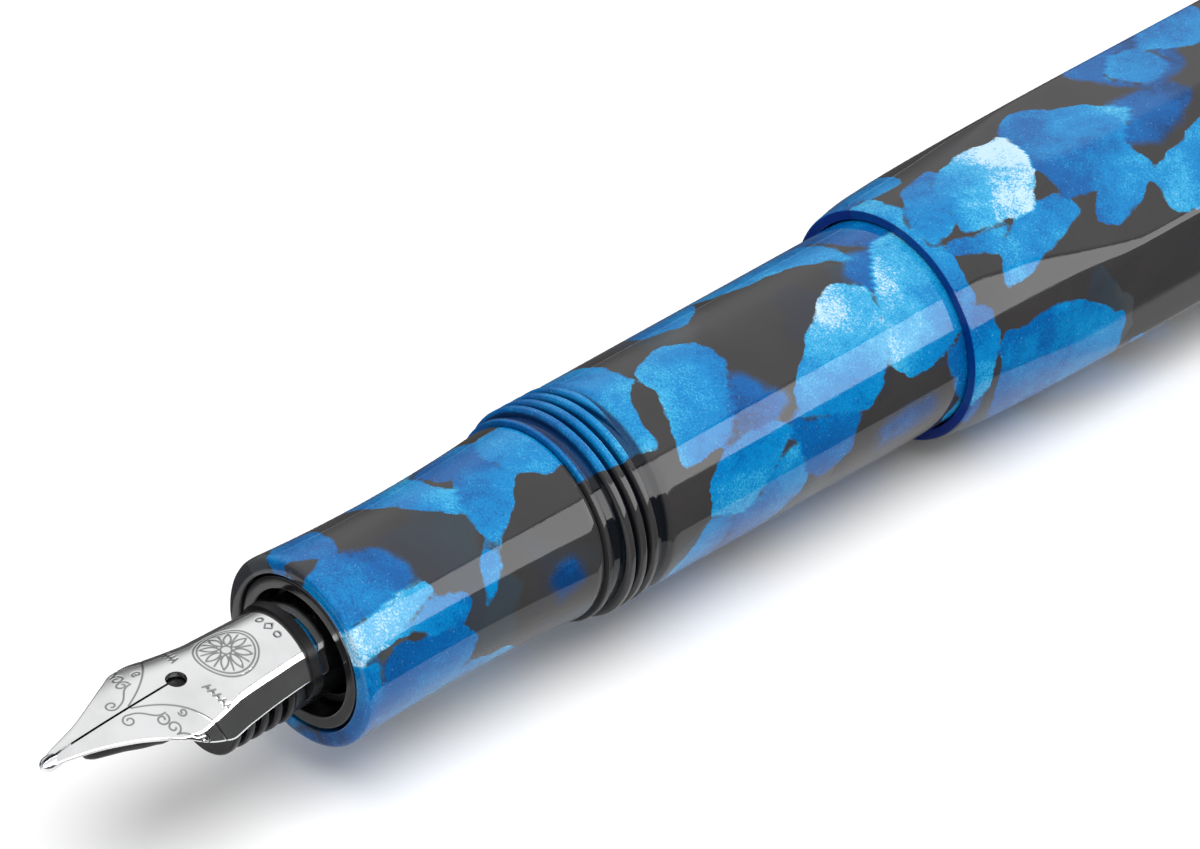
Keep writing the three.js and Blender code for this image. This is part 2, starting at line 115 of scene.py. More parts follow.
@dataclass
class Form:
    """A surface in the pen's own frame.

    Attributes:
        points: One row per vertex.
        faces: Vertex numbers, anticlockwise from outside.
    """

    points: np.ndarray
    faces: list[tuple[int, ...]]

    def joined(self, other: Form) -> Form:
        """Puts another form beside this one.

        Args:
            other: The form to add.

        Returns:
            Both surfaces in one form.
        """
        shift = len(self.points)
        moved = [tuple(v + shift for v in face) for face in other.faces]
        return Form(np.vstack([self.points, other.points]), self.faces + moved)

    def mirrored(self) -> Form:
        """Returns the form's mirror image across the upright plane through the axis."""
        flipped = [tuple(reversed(face)) for face in self.faces]
        return Form(self.points * np.array([1.0, -1.0, 1.0]), flipped)

    def welded(self, reach: float = 1e-4) -> Form:
        """Merges vertices at the same place and drops faces that collapse.

        Args:
            reach: Grid that decides what counts as the same place.

        Returns:
            The merged form.
        """
        keys = np.round(self.points / reach).astype(np.int64)
        _, first, back = np.unique(keys, axis=0, return_index=True, return_inverse=True)
        back = back.reshape(-1)
        faces = []
        for face in self.faces:
            loop = [int(back[v]) for v in face]
            slim = [v for i, v in enumerate(loop) if v != loop[i - 1]]
            if len(slim) > 2:
                faces.append(tuple(slim))
        return Form(self.points[first], faces)


def lofted(loops: Sequence[np.ndarray], poles: np.ndarray | None) -> Form:
    """Skins a row of loops.

    Args:
        loops: Loops with the same number of points, in order along the axis.
        poles: Middles of the two end faces, or None where the last loop joins the first.

    Returns:
        The closed form.
    """
    count, last = len(loops[0]), len(loops) - 1
    points = np.vstack(loops)
    faces: list[tuple[int, ...]] = []
    for i in range(last + (poles is None)):
        low, high = i * count, (i + 1) % len(loops) * count
        for k in range(count):
            step = (k + 1) % count
            faces.append((low + k, low + step, high + step, high + k))
    if poles is None:
        return Form(points, faces)
    for k in range(count):
        step = (k + 1) % count
        faces.append((len(points), step, k))
        faces.append((len(points) + 1, last * count + k, last * count + step))
    return Form(np.vstack([points, poles]), faces)


def ring_stack(rings: Sequence[tuple[float, Any]], sides: int, closed: bool) -> Form:
    """Lays rings round the axis and skins them.

    Args:
        rings: Station and radius of each ring; a radius may be one number or one per side.
        sides: Points in a ring.
        closed: Whether the last ring joins the first; otherwise both ends meet the axis.

    Returns:
        A closed form. Outside walls run towards the cap, and bores run back.
    """
    turn = 2 * math.pi * np.arange(sides) / sides
    across = np.stack([-np.sin(turn), np.cos(turn)], axis=1)
    loops = []
    for station, radius in rings:
        radii = np.broadcast_to(np.asarray(radius, float), (sides,))
        loops.append(np.column_stack([np.full(sides, station), across * radii[:, None]]))
    poles = None if closed else np.array([[rings[0][0], 0, 0], [rings[-1][0], 0, 0]], float)
    return lofted(loops, poles)


def turned(corners: Sequence[Corner], sides: int = 128, closed: bool = False) -> Form:
    """Rounds an outline's corners and turns it about the axis, as a loop if it is closed."""
    return ring_stack(eased(corners, closed), sides, closed)


def outward(mesh: bpy.types.Mesh) -> Form:
    """Turns a closed mesh's faces outwards.

    Args:
        mesh: The mesh, whose doubles are merged first.

    Returns:
        The mesh as a form.
    """
    shell = bmesh.new()
    shell.from_mesh(mesh)
    bmesh.ops.remove_doubles(shell, verts=shell.verts[:], dist=1e-5)
    bmesh.ops.recalc_face_normals(shell, faces=shell.faces[:])
    shell.verts.index_update()
    points = np.array([vertex.co[:] for vertex in shell.verts], float).reshape(-1, 3)
    faces = [tuple(vertex.index for vertex in face.verts) for face in shell.faces]
    shell.free()
    return Form(points, faces)


def skinned(loops: Sequence[np.ndarray]) -> Form:
    """Skins a row of loops, closes both ends with a fan and turns the faces outwards."""
    return recalculated(lofted(loops, np.array([loops[0].mean(axis=0), loops[-1].mean(axis=0)])))


def recalculated(form: Form) -> Form:
    """Merges a closed form's doubles and turns its faces outwards.

    Args:
        form: The form.

    Returns:
        The mended form.
    """
    mesh = bpy.data.meshes.new("scratch")
    mesh.from_pydata(form.points.tolist(), [], form.faces)
    result = outward(mesh)
    bpy.data.meshes.remove(mesh)
    return result


def through(knots: Sequence[Point], at: Any) -> np.ndarray:
    """Reads a smooth curve that passes its knots without overshooting.

    Args:
        knots: Stations and values, with rising stations.
        at: Where to read it.

    Returns:
        The curve's values.
    """
    xs, ys = (np.array(column, float) for column in zip(*knots))
    run, rise = np.diff(xs), np.diff(ys)
    secant = rise / run
    slopes = np.zeros(len(xs))
    slopes[0], slopes[-1] = secant[0], secant[-1]
    before, after = secant[:-1], secant[1:]
    same = before * after > 0
    slopes[1:-1][same] = 2 * before[same] * after[same] / (before[same] + after[same])
    at = np.clip(np.asarray(at, float), xs[0], xs[-1])
    i = np.clip(np.searchsorted(xs, at, side="right") - 1, 0, len(xs) - 2)
    t = (at - xs[i]) / run[i]
    return (
        (2 * t**3 - 3 * t**2 + 1) * ys[i]
        + (t**3 - 2 * t**2 + t) * run[i] * slopes[i]
        + (3 * t**2 - 2 * t**3) * ys[i + 1]
        + (t**3 - t**2) * run[i] * slopes[i + 1]
    )


# ---- node trees


class NodeDesk:
    """Short ways to add and join the nodes of one tree."""

    def __init__(self, tree: bpy.types.NodeTree) -> None:
        """Takes the tree to work on.

        Args:
            tree: A shader or geometry node tree.
        """
        self.tree = tree

    def add(self, kind: str, inputs: dict[Any, Any] | None = None, **settings: Any) -> Any:
        """Adds a node.

        Args:
            kind: The node's type name.
            inputs: Values or sockets for the node's inputs, by name or number.
            **settings: Properties of the node.

        Returns:
            The new node.
        """
        node = self.tree.nodes.new(kind)
        for key, value in settings.items():
            setattr(node, key, value)
        for key, value in (inputs or {}).items():
            socket = node.inputs[key]
            if isinstance(value, bpy.types.NodeSocket):
                self.tree.links.new(value, socket)
            else:
                socket.default_value = value
        return node

    def maths(self, operation: str, *values: Any, clamp: bool = False) -> Any:
        """Adds a Math node and returns its output."""
        inputs = dict(enumerate(values))
        return self.add("ShaderNodeMath", inputs, operation=operation, use_clamp=clamp).outputs[0]

    def vector(self, operation: str, *values: Any, output: str = "Vector") -> Any:
        """Adds a Vector Math node and returns one of its outputs."""
        node = self.add("ShaderNodeVectorMath", dict(enumerate(values)), operation=operation)
        return node.outputs[output]

    def ramp(self, value: Any, low: float, high: float, to_low: float = 0.0, to_high: float = 1.0) -> Any:
        """Adds a smooth Map Range from one span to another and returns its output."""
        inputs = {0: value, 1: low, 2: high, 3: to_low, 4: to_high}
        return self.add("ShaderNodeMapRange", inputs, interpolation_type="SMOOTHSTEP").outputs["Result"]

    def noise(self, place: Any, scale: Any, detail: float, rough: float = 0.5, output: str = "Fac") -> Any:
        """Adds a Noise Texture and returns one of its outputs."""
        inputs = {"Vector": place, "Scale": scale, "Detail": detail, "Roughness": rough}
        return self.add("ShaderNodeTexNoise", inputs).outputs[output]

    def attribute(self, name: str) -> Any:
        """Reads one of the mesh's attributes as a value."""
        return self.add("ShaderNodeAttribute", attribute_name=name).outputs["Fac"]

    def along_x(self, value: Any) -> Any:
        """Turns a value into a vector along X."""
        return self.add("ShaderNodeCombineXYZ", {0: value}).outputs[0]

    def mix(self, share: Any, first: Any, second: Any, blend: str = "MIX") -> Any:
        """Mixes two colours and returns the result.

        Args:
            share: Weight of the second colour.
            first: Colour or socket.
            second: Colour or socket.
            blend: Blending mode.

        Returns:
            The mixed colour's socket.
        """
        node = self.add("ShaderNodeMix", data_type="RGBA", blend_type=blend)
        share_socket, first_socket, second_socket = (node.inputs[i] for i in (0, 6, 7))
        for socket, value in ((share_socket, share), (first_socket, first), (second_socket, second)):
            if isinstance(value, bpy.types.NodeSocket):
                self.tree.links.new(value, socket)
            elif socket.type == "RGBA":
                socket.default_value = (*value, 1.0)
            else:
                socket.default_value = value
        return node.outputs[2]

    def group(self, tree: bpy.types.NodeTree, inputs: dict[str, Any]) -> Any:
        """Places a node group and returns its node."""
        return self.add(self.tree.bl_idname.replace("Tree", "Group"), inputs, node_tree=tree)

    def send(self, socket: Any, target: Any) -> None:
        """Links an output to an input."""
        self.tree.links.new(socket, target)


def new_group(name: str, kind: str, inputs: dict[str, Any], outputs: dict[str, str]) -> tuple[Any, Any, Any]:
    """Makes a node group with named sockets.

    Args:
        name: The group's name.
        kind: ShaderNodeTree or GeometryNodeTree.
        inputs: Each input's default number, or its kind of socket.
        outputs: Each output's kind of socket.

    Returns:
        The group, its input node and its output node.
    """
    tree = bpy.data.node_groups.new(name, kind)
    for label, default in inputs.items():
        socket = {float: "Float", int: "Int"}.get(type(default), default)
        made = tree.interface.new_socket(name=label, in_out="INPUT", socket_type=f"NodeSocket{socket}")
        if socket != default:
            made.default_value = default
    for label, socket in outputs.items():
        tree.interface.new_socket(name=label, in_out="OUTPUT", socket_type=f"NodeSocket{socket}")
    return tree, tree.nodes.new("NodeGroupInput"), tree.nodes.new("NodeGroupOutput")


# ---- shared surface effects


class SurfaceGroups:
    """Shader node groups that several finishes share."""

    def __init__(self) -> None:
        """Builds each group once."""
        self.chips = self._pearl_chips()
        self.grain = self._pearl_grain()
        self.handling = self._handling_marks()

    @staticmethod
    def _pearl_chips() -> bpy.types.NodeTree:
        """Returns a group of chips cast into resin: where they lie, and how light each one is."""
        tree, given, result = new_group("pearl_chips", "ShaderNodeTree", {
            "Vector": "Vector", "Chip Size": 5.0, "Coverage": 0.5, "Warp": 1.0, "Softness": 0.1},
            {"Mask": "Float", "Shade": "Float"})
        desk = NodeDesk(tree)
        place = given.outputs["Vector"]
        sway = desk.noise(place, scale=0.2, detail=2.5, rough=0.45, output="Color")
        centred = desk.vector("SUBTRACT", sway, (0.5, 0.5, 0.5))
        reach = desk.maths("MULTIPLY", given.outputs["Warp"], 5.0)
        spread = desk.add("ShaderNodeCombineXYZ", {0: reach, 1: reach, 2: reach}).outputs[0]
        bent = desk.vector("ADD", place, desk.vector("MULTIPLY", centred, spread))
        density = desk.maths("DIVIDE", 1.0, given.outputs["Chip Size"])
        cells, edges = (
            desk.add("ShaderNodeTexVoronoi", {"Vector": bent, "Scale": density}, feature=feature)
            for feature in ("F1", "DISTANCE_TO_EDGE"))
        picks = desk.add("ShaderNodeSeparateColor", {0: cells.outputs["Color"]})
        chosen = desk.maths("LESS_THAN", picks.outputs[0], given.outputs["Coverage"])
        melted = desk.maths("POWER", picks.outputs[1], 3.0)
        fade = desk.maths("MULTIPLY_ADD", melted, given.outputs["Softness"], 0.008)
        inside = desk.maths("DIVIDE", edges.outputs["Distance"], fade, clamp=True)
        mask = desk.maths("MULTIPLY", chosen, desk.ramp(inside, 0.0, 1.0))
        lean = desk.vector("SUBTRACT", cells.outputs["Color"], (0.5, 0.5, 0.5))
        offset = desk.vector("SUBTRACT", cells.outputs["Position"], bent)
        slope = desk.vector("DOT_PRODUCT", desk.vector("NORMALIZE", lean), offset, output="Value")
        slope = desk.maths("MULTIPLY", slope, desk.maths("MULTIPLY", density, 0.9))
        shade = desk.maths("ADD", desk.maths("MULTIPLY_ADD", picks.outputs[2], 0.5, 0.22), slope)
        desk.send(mask, result.inputs["Mask"])
        desk.send(shade, result.inputs["Shade"])
        return tree

    @staticmethod
    def _pearl_grain() -> bpy.types.NodeTree:
        """Returns a group of fine pearl dust with a few bright flakes."""
        tree, given, result = new_group("pearl_grain", "ShaderNodeTree", {
            "Vector": "Vector", "Grain Size": 0.1}, {"Dust": "Float", "Flakes": "Float"})
        desk = NodeDesk(tree)
        fine = desk.maths("DIVIDE", 1.0, given.outputs["Grain Size"])
        dust = desk.noise(given.outputs["Vector"], fine, detail=2.0, rough=0.7)
        flakes = desk.add("ShaderNodeTexVoronoi", {
            "Vector": given.outputs["Vector"], "Scale": desk.maths("MULTIPLY", fine, 0.8)}, feature="F1")
        bright = desk.add("ShaderNodeSeparateColor", {0: flakes.outputs["Color"]})
        lit = desk.maths("GREATER_THAN", bright.outputs[0], 0.93)
        spot = desk.ramp(flakes.outputs["Distance"], 0.18, 0.34, 1.0, 0.0)
        desk.send(dust, result.inputs["Dust"])
        desk.send(desk.maths("MULTIPLY", lit, spot), result.inputs["Flakes"])
        return tree

    @staticmethod
    def _handling_marks() -> bpy.types.NodeTree:
        """Returns a group of the faint smears and hairlines that handling leaves on polish."""
        tree, given, result = new_group("handling_marks", "ShaderNodeTree", {
            "Vector": "Vector", "Polish": 0.05, "Smear": 0.05, "Hairline Depth": 0.02},
            {"Roughness": "Float", "Normal": "Vector"})
        desk = NodeDesk(tree)
        place = given.outputs["Vector"]
        worn = desk.ramp(desk.noise(place, scale=0.35, detail=4.0, rough=0.6), 0.4, 0.75)
        rough = desk.maths("MULTIPLY_ADD", worn, given.outputs["Smear"], given.outputs["Polish"])
        stretched = desk.vector("MULTIPLY", place, (0.6, 7.0, 7.0))
        hair = desk.noise(stretched, scale=1.6, detail=3.0, rough=0.7)
        bump = desk.add("ShaderNodeBump", {
            "Strength": given.outputs["Hairline Depth"], "Distance": 0.02 * MM, "Height": hair})
        desk.send(rough, result.inputs["Roughness"])
        desk.send(bump.outputs["Normal"], result.inputs["Normal"])
        return tree


@dataclass
class Palette:
    """Base of every finish: an empty Principled material on object coordinates in millimetres."""

    name: str

    def start(self) -> tuple[bpy.types.Material, NodeDesk, Any, Any]:
        """Makes the material.

        Returns:
            The material, its desk, its Principled shader and its coordinates in millimetres.
        """
        material = bpy.data.materials.new(self.name)
        material.use_nodes = True
        desk = NodeDesk(material.node_tree)
        shader = material.node_tree.nodes["Principled BSDF"]
        where = desk.add("ShaderNodeTexCoord")
        scaled = desk.add("ShaderNodeMapping", {"Vector": where.outputs["Object"], "Scale": (1 / MM,) * 3})
        return material, desk, shader, scaled.outputs["Vector"]

    @staticmethod
    def handle(desk: NodeDesk, shader: Any, effect: bpy.types.NodeTree, inputs: dict[str, Any]) -> None:
        """Puts handling marks on the surface.

        Args:
            desk: The material's desk.
            shader: Its Principled shader.
            effect: The shared handling marks.
            inputs: Their values and coordinates.
        """
        marks = desk.group(effect, inputs)
        for label in ("Roughness", "Normal"):
            desk.send(marks.outputs[label], shader.inputs[label])


@dataclass
class PearlResin(Palette):
    """Charcoal casting resin full of azure pearl chips, machined and polished.

    Attributes:
        shift: Where in the casting this piece was cut, in millimetres.
        turn: How its blank lay, in degrees.
        chip_size: Width of a chip drowned under the surface.
        raggedness: How far a chip's edge strays, in millimetres.
        drift: How far a chip's shade wanders across it.
        mottle: How far its shade wanders from spot to spot.
        grit: How far its shade wanders from grain to grain.
        drowned: How much the chips under the surface show.
        painted_wall_shade: Weight of the painted shade, in navy, on inner walls and forward faces.
        thread_painted_shade: What a thread's root keeps of its colour under its painted shade.
        sheen: Specular level of the polished resin.
    """

    shift: tuple[float, float, float] = (0.0, 0.0, 0.0)
    turn: tuple[float, float, float] = (0.0, 0.0, 0.0)
    chip_size: float = 5.2
    raggedness: float = 0.95
    drift: float = 0.65
    mottle: float = 0.2
    grit: float = 0.65
    drowned: float = 0.45
    painted_wall_shade: float = 0.9
    thread_painted_shade: Colour = (0.12, 0.16, 0.22)
    sheen: float = 0.27
    charcoal: Colour = (0.0290, 0.0275, 0.0270)
    smoke: Colour = (0.042, 0.040, 0.041)
    # Colour of the painted shade on inner walls and forward faces.
    wall_shade_navy: Colour = (0.0008, 0.016, 0.170)
    deep: Colour = (0.002, 0.035, 0.130)
    royal: Colour = (0.001, 0.085, 0.290)
    azure: Colour = (0.001, 0.180, 0.440)
    sky: Colour = (0.030, 0.320, 0.560)
    pearl: Colour = (0.430, 0.600, 0.720)

    def build(self, groups: SurfaceGroups) -> bpy.types.Material:
        """Makes the material.

        Args:
            groups: The shared effects.

        Returns:
            The material.
        """
        material, desk, shader, place = self.start()
        turned_by = tuple(math.radians(angle) for angle in self.turn)
        blank = desk.add("ShaderNodeMapping", {
            "Vector": place, "Location": self.shift, "Rotation": turned_by}).outputs["Vector"]
        grain = desk.group(groups.grain, {"Vector": blank, "Grain Size": 0.11})
        dust = desk.maths("SUBTRACT", grain.outputs["Dust"], 0.5)
        cover, tone, soft, line, inner, groove = (
            desk.attribute(f"chip_{name}") for name in ("cover", "tone", "soft", "line", "inner", "groove"))
        ragged = desk.maths("SUBTRACT", desk.noise(blank, scale=0.7, detail=4.0), 0.5)
        torn = desk.maths("MULTIPLY", ragged, self.raggedness)
        edge = desk.maths("DIVIDE", desk.maths("ADD", cover, torn), soft)
        mask = desk.ramp(edge, -0.5, 0.5)

        chip = self._tone(desk, self._shade(desk, blank, tone), dust, 1.0)
        colour = desk.mix(mask, self._depths(desk, groups, blank, dust), chip)
        outline = self._outline(desk, blank, desk.maths("ADD", line, torn))
        colour = desk.mix(desk.maths("MULTIPLY", outline, mask), colour, self.charcoal)
        shown = desk.maths("MULTIPLY_ADD", mask, 0.16, 0.015)
        glints = desk.maths("MULTIPLY", grain.outputs["Flakes"], shown)
        colour = desk.mix(glints, colour, self.pearl)
        # Painted shade: inner walls and forward faces are painted navy.
        colour = desk.mix(desk.maths("MULTIPLY", inner, self.painted_wall_shade), colour, self.wall_shade_navy)
        # Painted shade: the thread's grooves are darkened towards their roots.
        shaded = desk.mix(1.0, colour, self.thread_painted_shade, "MULTIPLY")
        colour = desk.mix(desk.ramp(groove, 0.15, 0.75), colour, shaded)
        desk.send(colour, shader.inputs["Base Color"])

        self.handle(desk, shader, groups.handling, {
            "Vector": place, "Polish": 0.035, "Smear": 0.05, "Hairline Depth": 0.04})
        shader.inputs["IOR"].default_value = 1.5
        shader.inputs["Specular IOR Level"].default_value = self.sheen
        return material

    def _depths(self, desk: NodeDesk, groups: SurfaceGroups, blank: Any, dust: Any) -> Any:
        """Colours the charcoal between the chips.

        Args:
            desk: The material's desk.
            groups: The shared effects.
            blank: Coordinates in the casting.
            dust: Grain, centred on 0.

        Returns:
            The colour's socket.
        """
        under = desk.group(groups.chips, {
            "Vector": blank, "Chip Size": self.chip_size, "Coverage": 0.4, "Warp": 1.3, "Softness": 1.6})
        charcoal = desk.mix(desk.noise(blank, scale=0.3, detail=3.0), self.charcoal, self.smoke)
        sunk = desk.mix(0.9, self._tone(desk, under.outputs["Shade"], dust, 0.3), self.charcoal)
        return desk.mix(desk.maths("MULTIPLY", under.outputs["Mask"], self.drowned), charcoal, sunk)

    def _shade(self, desk: NodeDesk, blank: Any, tone: Any) -> Any:
        """Lets a chip's shade wander.

        Args:
            desk: The material's desk.
            blank: Coordinates in the casting.
            tone: The chip's own shade.

        Returns:
            The shade's socket.
        """
        slow = desk.maths("SUBTRACT", desk.noise(blank, scale=0.42, detail=3.0), 0.5)
        quick = desk.maths("SUBTRACT", desk.noise(blank, scale=1.7, detail=4.0, rough=0.6), 0.5)
        shade = desk.maths("MULTIPLY_ADD", slow, self.drift, tone)
        return desk.maths("MULTIPLY_ADD", quick, self.mottle, shade)

    @staticmethod
    def _outline(desk: NodeDesk, blank: Any, line: Any) -> Any:
        """Finds the dark line where one chip lies over another.

        Args:
            desk: The material's desk.
            blank: Coordinates in the casting.
            line: Distance to the nearest chip's edge.

        Returns:
            The line's weight, broken where the chips have fused.
        """
        rim = desk.ramp(line, 0.0, 0.13, 1.0, 0.0)
        open_joint = desk.ramp(desk.noise(blank, scale=0.5, detail=2.0), 0.4, 0.58, 0.0, 0.75)
        return desk.maths("MULTIPLY", rim, open_joint)

    def _tone(self, desk: NodeDesk, shade: Any, dust: Any, grit: float) -> Any:
        """Turns a chip's shade into colour.

        Args:
            desk: The material's desk.
            shade: The chip's shade, dark at 0 and pearly at 1.
            dust: Grain, centred on 0.
            grit: Weight of the grain.

        Returns:
            The colour's socket.
        """
        amount = desk.maths("ADD", shade, desk.maths("MULTIPLY", dust, grit * self.grit))
        ramp = desk.add("ShaderNodeValToRGB", {"Fac": amount})
        ramp.color_ramp.interpolation = "EASE"
        stops = {0.0: self.deep, 0.3: self.royal, 0.58: self.azure, 0.8: self.sky, 1.0: self.pearl}
        elements = ramp.color_ramp.elements
        while len(elements) < len(stops):
            elements.new(0.5)
        for element, (at, tone) in zip(elements, stops.items()):
            element.position = at
            element.color = (*tone, 1.0)
        return ramp.outputs["Color"]


@dataclass
class Moulding(Palette):
    """Smooth injection-moulded plastic with faint flow marks."""

    colour: Colour = (0.008, 0.008, 0.009)
    rough: float = 0.2
    sheen: float = 0.5

    def build(self, groups: SurfaceGroups) -> bpy.types.Material:
        """Makes the material.

        Args:
            groups: The shared effects.

        Returns:
            The material.
        """
        material, desk, shader, place = self.start()
        flow = desk.add("ShaderNodeTexNoise", {
            "Vector": place, "Scale": 0.8, "Detail": 4.0, "Distortion": 0.6})
        lighter = tuple(min(1.0, channel * 1.7 + 0.002) for channel in self.colour)
        colour = desk.mix(desk.ramp(flow.outputs["Fac"], 0.35, 0.75), self.colour, lighter)
        desk.send(colour, shader.inputs["Base Color"])
        self.handle(desk, shader, groups.handling, {
            "Vector": place, "Polish": self.rough, "Smear": 0.1, "Hairline Depth": 0.12})
        shader.inputs["Specular IOR Level"].default_value = self.sheen
        return material


@dataclass
class Metal(Palette):
    """Polished or ground metal."""

    colour: Colour = (0.86, 0.87, 0.89)
    polish: float = 0.12
    hairlines: float = 0.1

    def build(self, groups: SurfaceGroups) -> bpy.types.Material:
        """Makes the material.

        Args:
            groups: The shared effects.

        Returns:
            The material.
        """
        material, desk, shader, place = self.start()
        stain = desk.ramp(desk.noise(place, scale=0.5, detail=5.0), 0.4, 0.7)
        duller = tuple(channel * 0.9 for channel in self.colour)
        desk.send(desk.mix(stain, self.colour, duller), shader.inputs["Base Color"])
        self.handle(desk, shader, groups.handling, {
            "Vector": place, "Polish": self.polish, "Smear": 0.08, "Hairline Depth": self.hairlines})
        shader.inputs["Metallic"].default_value = 1.0
        return material


@dataclass
class EngravedSteel(Metal):
    """Polished nib steel whose engraved lines are painted dark, as painted shade in the cuts."""

    # Colour of the painted shade in the engraved lines.
    engraving_shade: Colour = (0.10, 0.10, 0.105)

    def build(self, groups: SurfaceGroups) -> bpy.types.Material:
        """Makes the material.

        Args:
            groups: The shared effects.

        Returns:
            The material.
        """
        material = super().build(groups)
        desk = NodeDesk(material.node_tree)
        shader = material.node_tree.nodes["Principled BSDF"]
        bright = shader.inputs["Base Color"].links[0].from_socket
        # Painted shade: the engraved lines are darkened the deeper they are cut.
        cut = desk.ramp(desk.attribute("engraved"), 0.0, 0.9, 0.0, 0.8)
        desk.send(desk.mix(cut, bright, self.engraving_shade), shader.inputs["Base Color"])
        return material


# ---- grown shapes


class GrownShapes:
    """Geometry Nodes trees for the forms that repeat or follow a path, in millimetres."""

    ON_AXIS = Euler((0.0, math.pi / 2, 0.0))

    def __init__(self, material: bpy.types.Material) -> None:
        """Builds the trees.

        Args:
            material: What Set Material gives the grown faces until they join their piece.
        """
        self.material = material
        self.thread = self._thread_ridge()
        self.fins = self._feed_fins()
        self.rays = self._ray_ring()

    @staticmethod
    def _close(desk: NodeDesk, given: Any, result: Any, geometry: Any) -> None:
        """Ends a tree in Realize Instances, smooth shading and Set Material.

        Args:
            desk: The tree's desk.
            given: Its input node.
            result: Its output node.
            geometry: What it has made.
        """
        real = desk.add("GeometryNodeRealizeInstances", {"Geometry": geometry})
        smooth = desk.add("GeometryNodeSetShadeSmooth", {"Geometry": real.outputs["Geometry"]})
        coat = desk.add("GeometryNodeSetMaterial", {
            "Geometry": smooth.outputs["Geometry"], "Material": given.outputs["Material"]})
        desk.send(coat.outputs["Geometry"], result.inputs["Geometry"])

    def _lay(self, desk: NodeDesk, given: Any, result: Any, geometry: Any, station: Any) -> None:
        """Turns upright geometry onto the pen's axis and ends its tree.

        Args:
            desk: The tree's desk.
            given: Its input node.
            result: Its output node.
            geometry: What it has made, about Z.
            station: Where its origin goes.
        """
        laid = desk.add("GeometryNodeTransform", {
            "Geometry": geometry, "Translation": desk.along_x(station), "Rotation": self.ON_AXIS})
        self._close(desk, given, result, laid.outputs["Geometry"])

    def _thread_ridge(self) -> bpy.types.NodeTree:
        """Returns a screw thread's tree: a trapezoid carried along a helix, fading out at both ends."""
        tree, given, result = new_group("thread_ridge", "GeometryNodeTree", {
            "Geometry": "Geometry", "Start": 0.0, "Radius": 5.0, "Height": 0.4, "Sink": 0.05,
            "Pitch": 0.75, "Turns": 4.0, "Foot": 0.5, "Crest": 0.3, "Rounding": 0.06, "Fade": 0.3,
            "Material": "Material"}, {"Geometry": "Geometry"})
        desk = NodeDesk(tree)
        value = given.outputs
        length = desk.maths("MULTIPLY", value["Pitch"], value["Turns"])
        helix = desk.add("GeometryNodeCurveSpiral", {
            "Resolution": 96, "Rotations": value["Turns"], "Start Radius": value["Radius"],
            "End Radius": value["Radius"], "Height": length, "Reverse": True})
        upright = desk.add("GeometryNodeSetCurveNormal", {"Curve": helix.outputs["Curve"]}, mode="Z_UP")
        along = desk.add("GeometryNodeSplineParameter").outputs["Factor"]
        near_end = desk.maths("MINIMUM", along, desk.maths("SUBTRACT", 1.0, along))
        span = desk.maths("DIVIDE", value["Fade"], value["Turns"])
        grown = desk.ramp(desk.maths("DIVIDE", near_end, span), 0.0, 1.0, 0.02, 1.0)
        low = desk.maths("MULTIPLY", value["Sink"], -1.0)
        corners = []
        high = value["Height"]
        foot, crest = (low, "Foot"), (high, "Crest")
        for (depth, width), sign in zip((foot, crest, crest, foot), (-0.5, -0.5, 0.5, 0.5)):
            across = desk.maths("MULTIPLY", value[width], sign)
            corners.append(desk.add("ShaderNodeCombineXYZ", {0: depth, 1: across}).outputs[0])
        profile = desk.add("GeometryNodeCurvePrimitiveQuadrilateral", {
            f"Point {i + 1}": corner for i, corner in enumerate(corners)}, mode="POINTS")
        rounded = desk.add("GeometryNodeFilletCurve", {
            "Curve": profile.outputs["Curve"], "Radius": value["Rounding"], "Count": 3,
            "Limit Radius": True}, mode="POLY")
        swept = desk.add("GeometryNodeCurveToMesh", {
            "Curve": upright.outputs["Curve"], "Profile Curve": rounded.outputs["Curve"],
            "Scale": grown, "Fill Caps": True})
        self._lay(desk, given, result, swept.outputs["Mesh"], value["Start"])
        return tree

    def _feed_fins(self) -> bpy.types.NodeTree:
        """Returns the tree of a row of round fins, open at the top, with eased rims."""
        tree, given, result = new_group("feed_fins", "GeometryNodeTree", {
            "Geometry": "Geometry", "First": -20.6, "Pitch": 0.9, "Count": 5, "Thickness": 0.4,
            "Radius": 2.3, "Sweep": 4.2, "Material": "Material"}, {"Geometry": "Geometry"})
        desk = NodeDesk(tree)
        value = given.outputs
        step = desk.add("ShaderNodeCombineXYZ", {2: desk.maths("DIVIDE", value["Thickness"], 8.0)})
        spine = desk.add("GeometryNodeMeshLine", {"Count": 9, "Offset": step.outputs[0]})
        spine = desk.add("GeometryNodeMeshToCurve", {"Mesh": spine.outputs["Mesh"]})
        half = desk.maths("MULTIPLY", value["Sweep"], -0.5)
        outline = desk.add("GeometryNodeCurveArc", {
            "Resolution": 72, "Radius": value["Radius"], "Start Angle": half, "Sweep Angle": value["Sweep"]})
        outline = desk.add("GeometryNodeSetSplineCyclic", {
            "Geometry": outline.outputs["Curve"], "Cyclic": True})
        along = desk.add("GeometryNodeSplineParameter").outputs["Factor"]
        off_centre = desk.maths("ABSOLUTE", desk.maths("MULTIPLY_ADD", along, 2.0, -1.0))
        rim = desk.maths("MULTIPLY_ADD", desk.maths("POWER", off_centre, 5.0), -0.045, 1.0)
        disc = desk.add("GeometryNodeCurveToMesh", {
            "Curve": spine.outputs["Curve"], "Profile Curve": outline.outputs["Geometry"],
            "Scale": rim, "Fill Caps": True})
        row = desk.add("GeometryNodeMeshLine", {
            "Count": value["Count"], "Start Location": desk.along_x(value["First"]),
            "Offset": desk.along_x(value["Pitch"])})
        placed = desk.add("GeometryNodeInstanceOnPoints", {
            "Points": row.outputs["Mesh"], "Instance": disc.outputs["Mesh"], "Rotation": self.ON_AXIS})
        self._close(desk, given, result, placed.outputs["Instances"])
        return tree

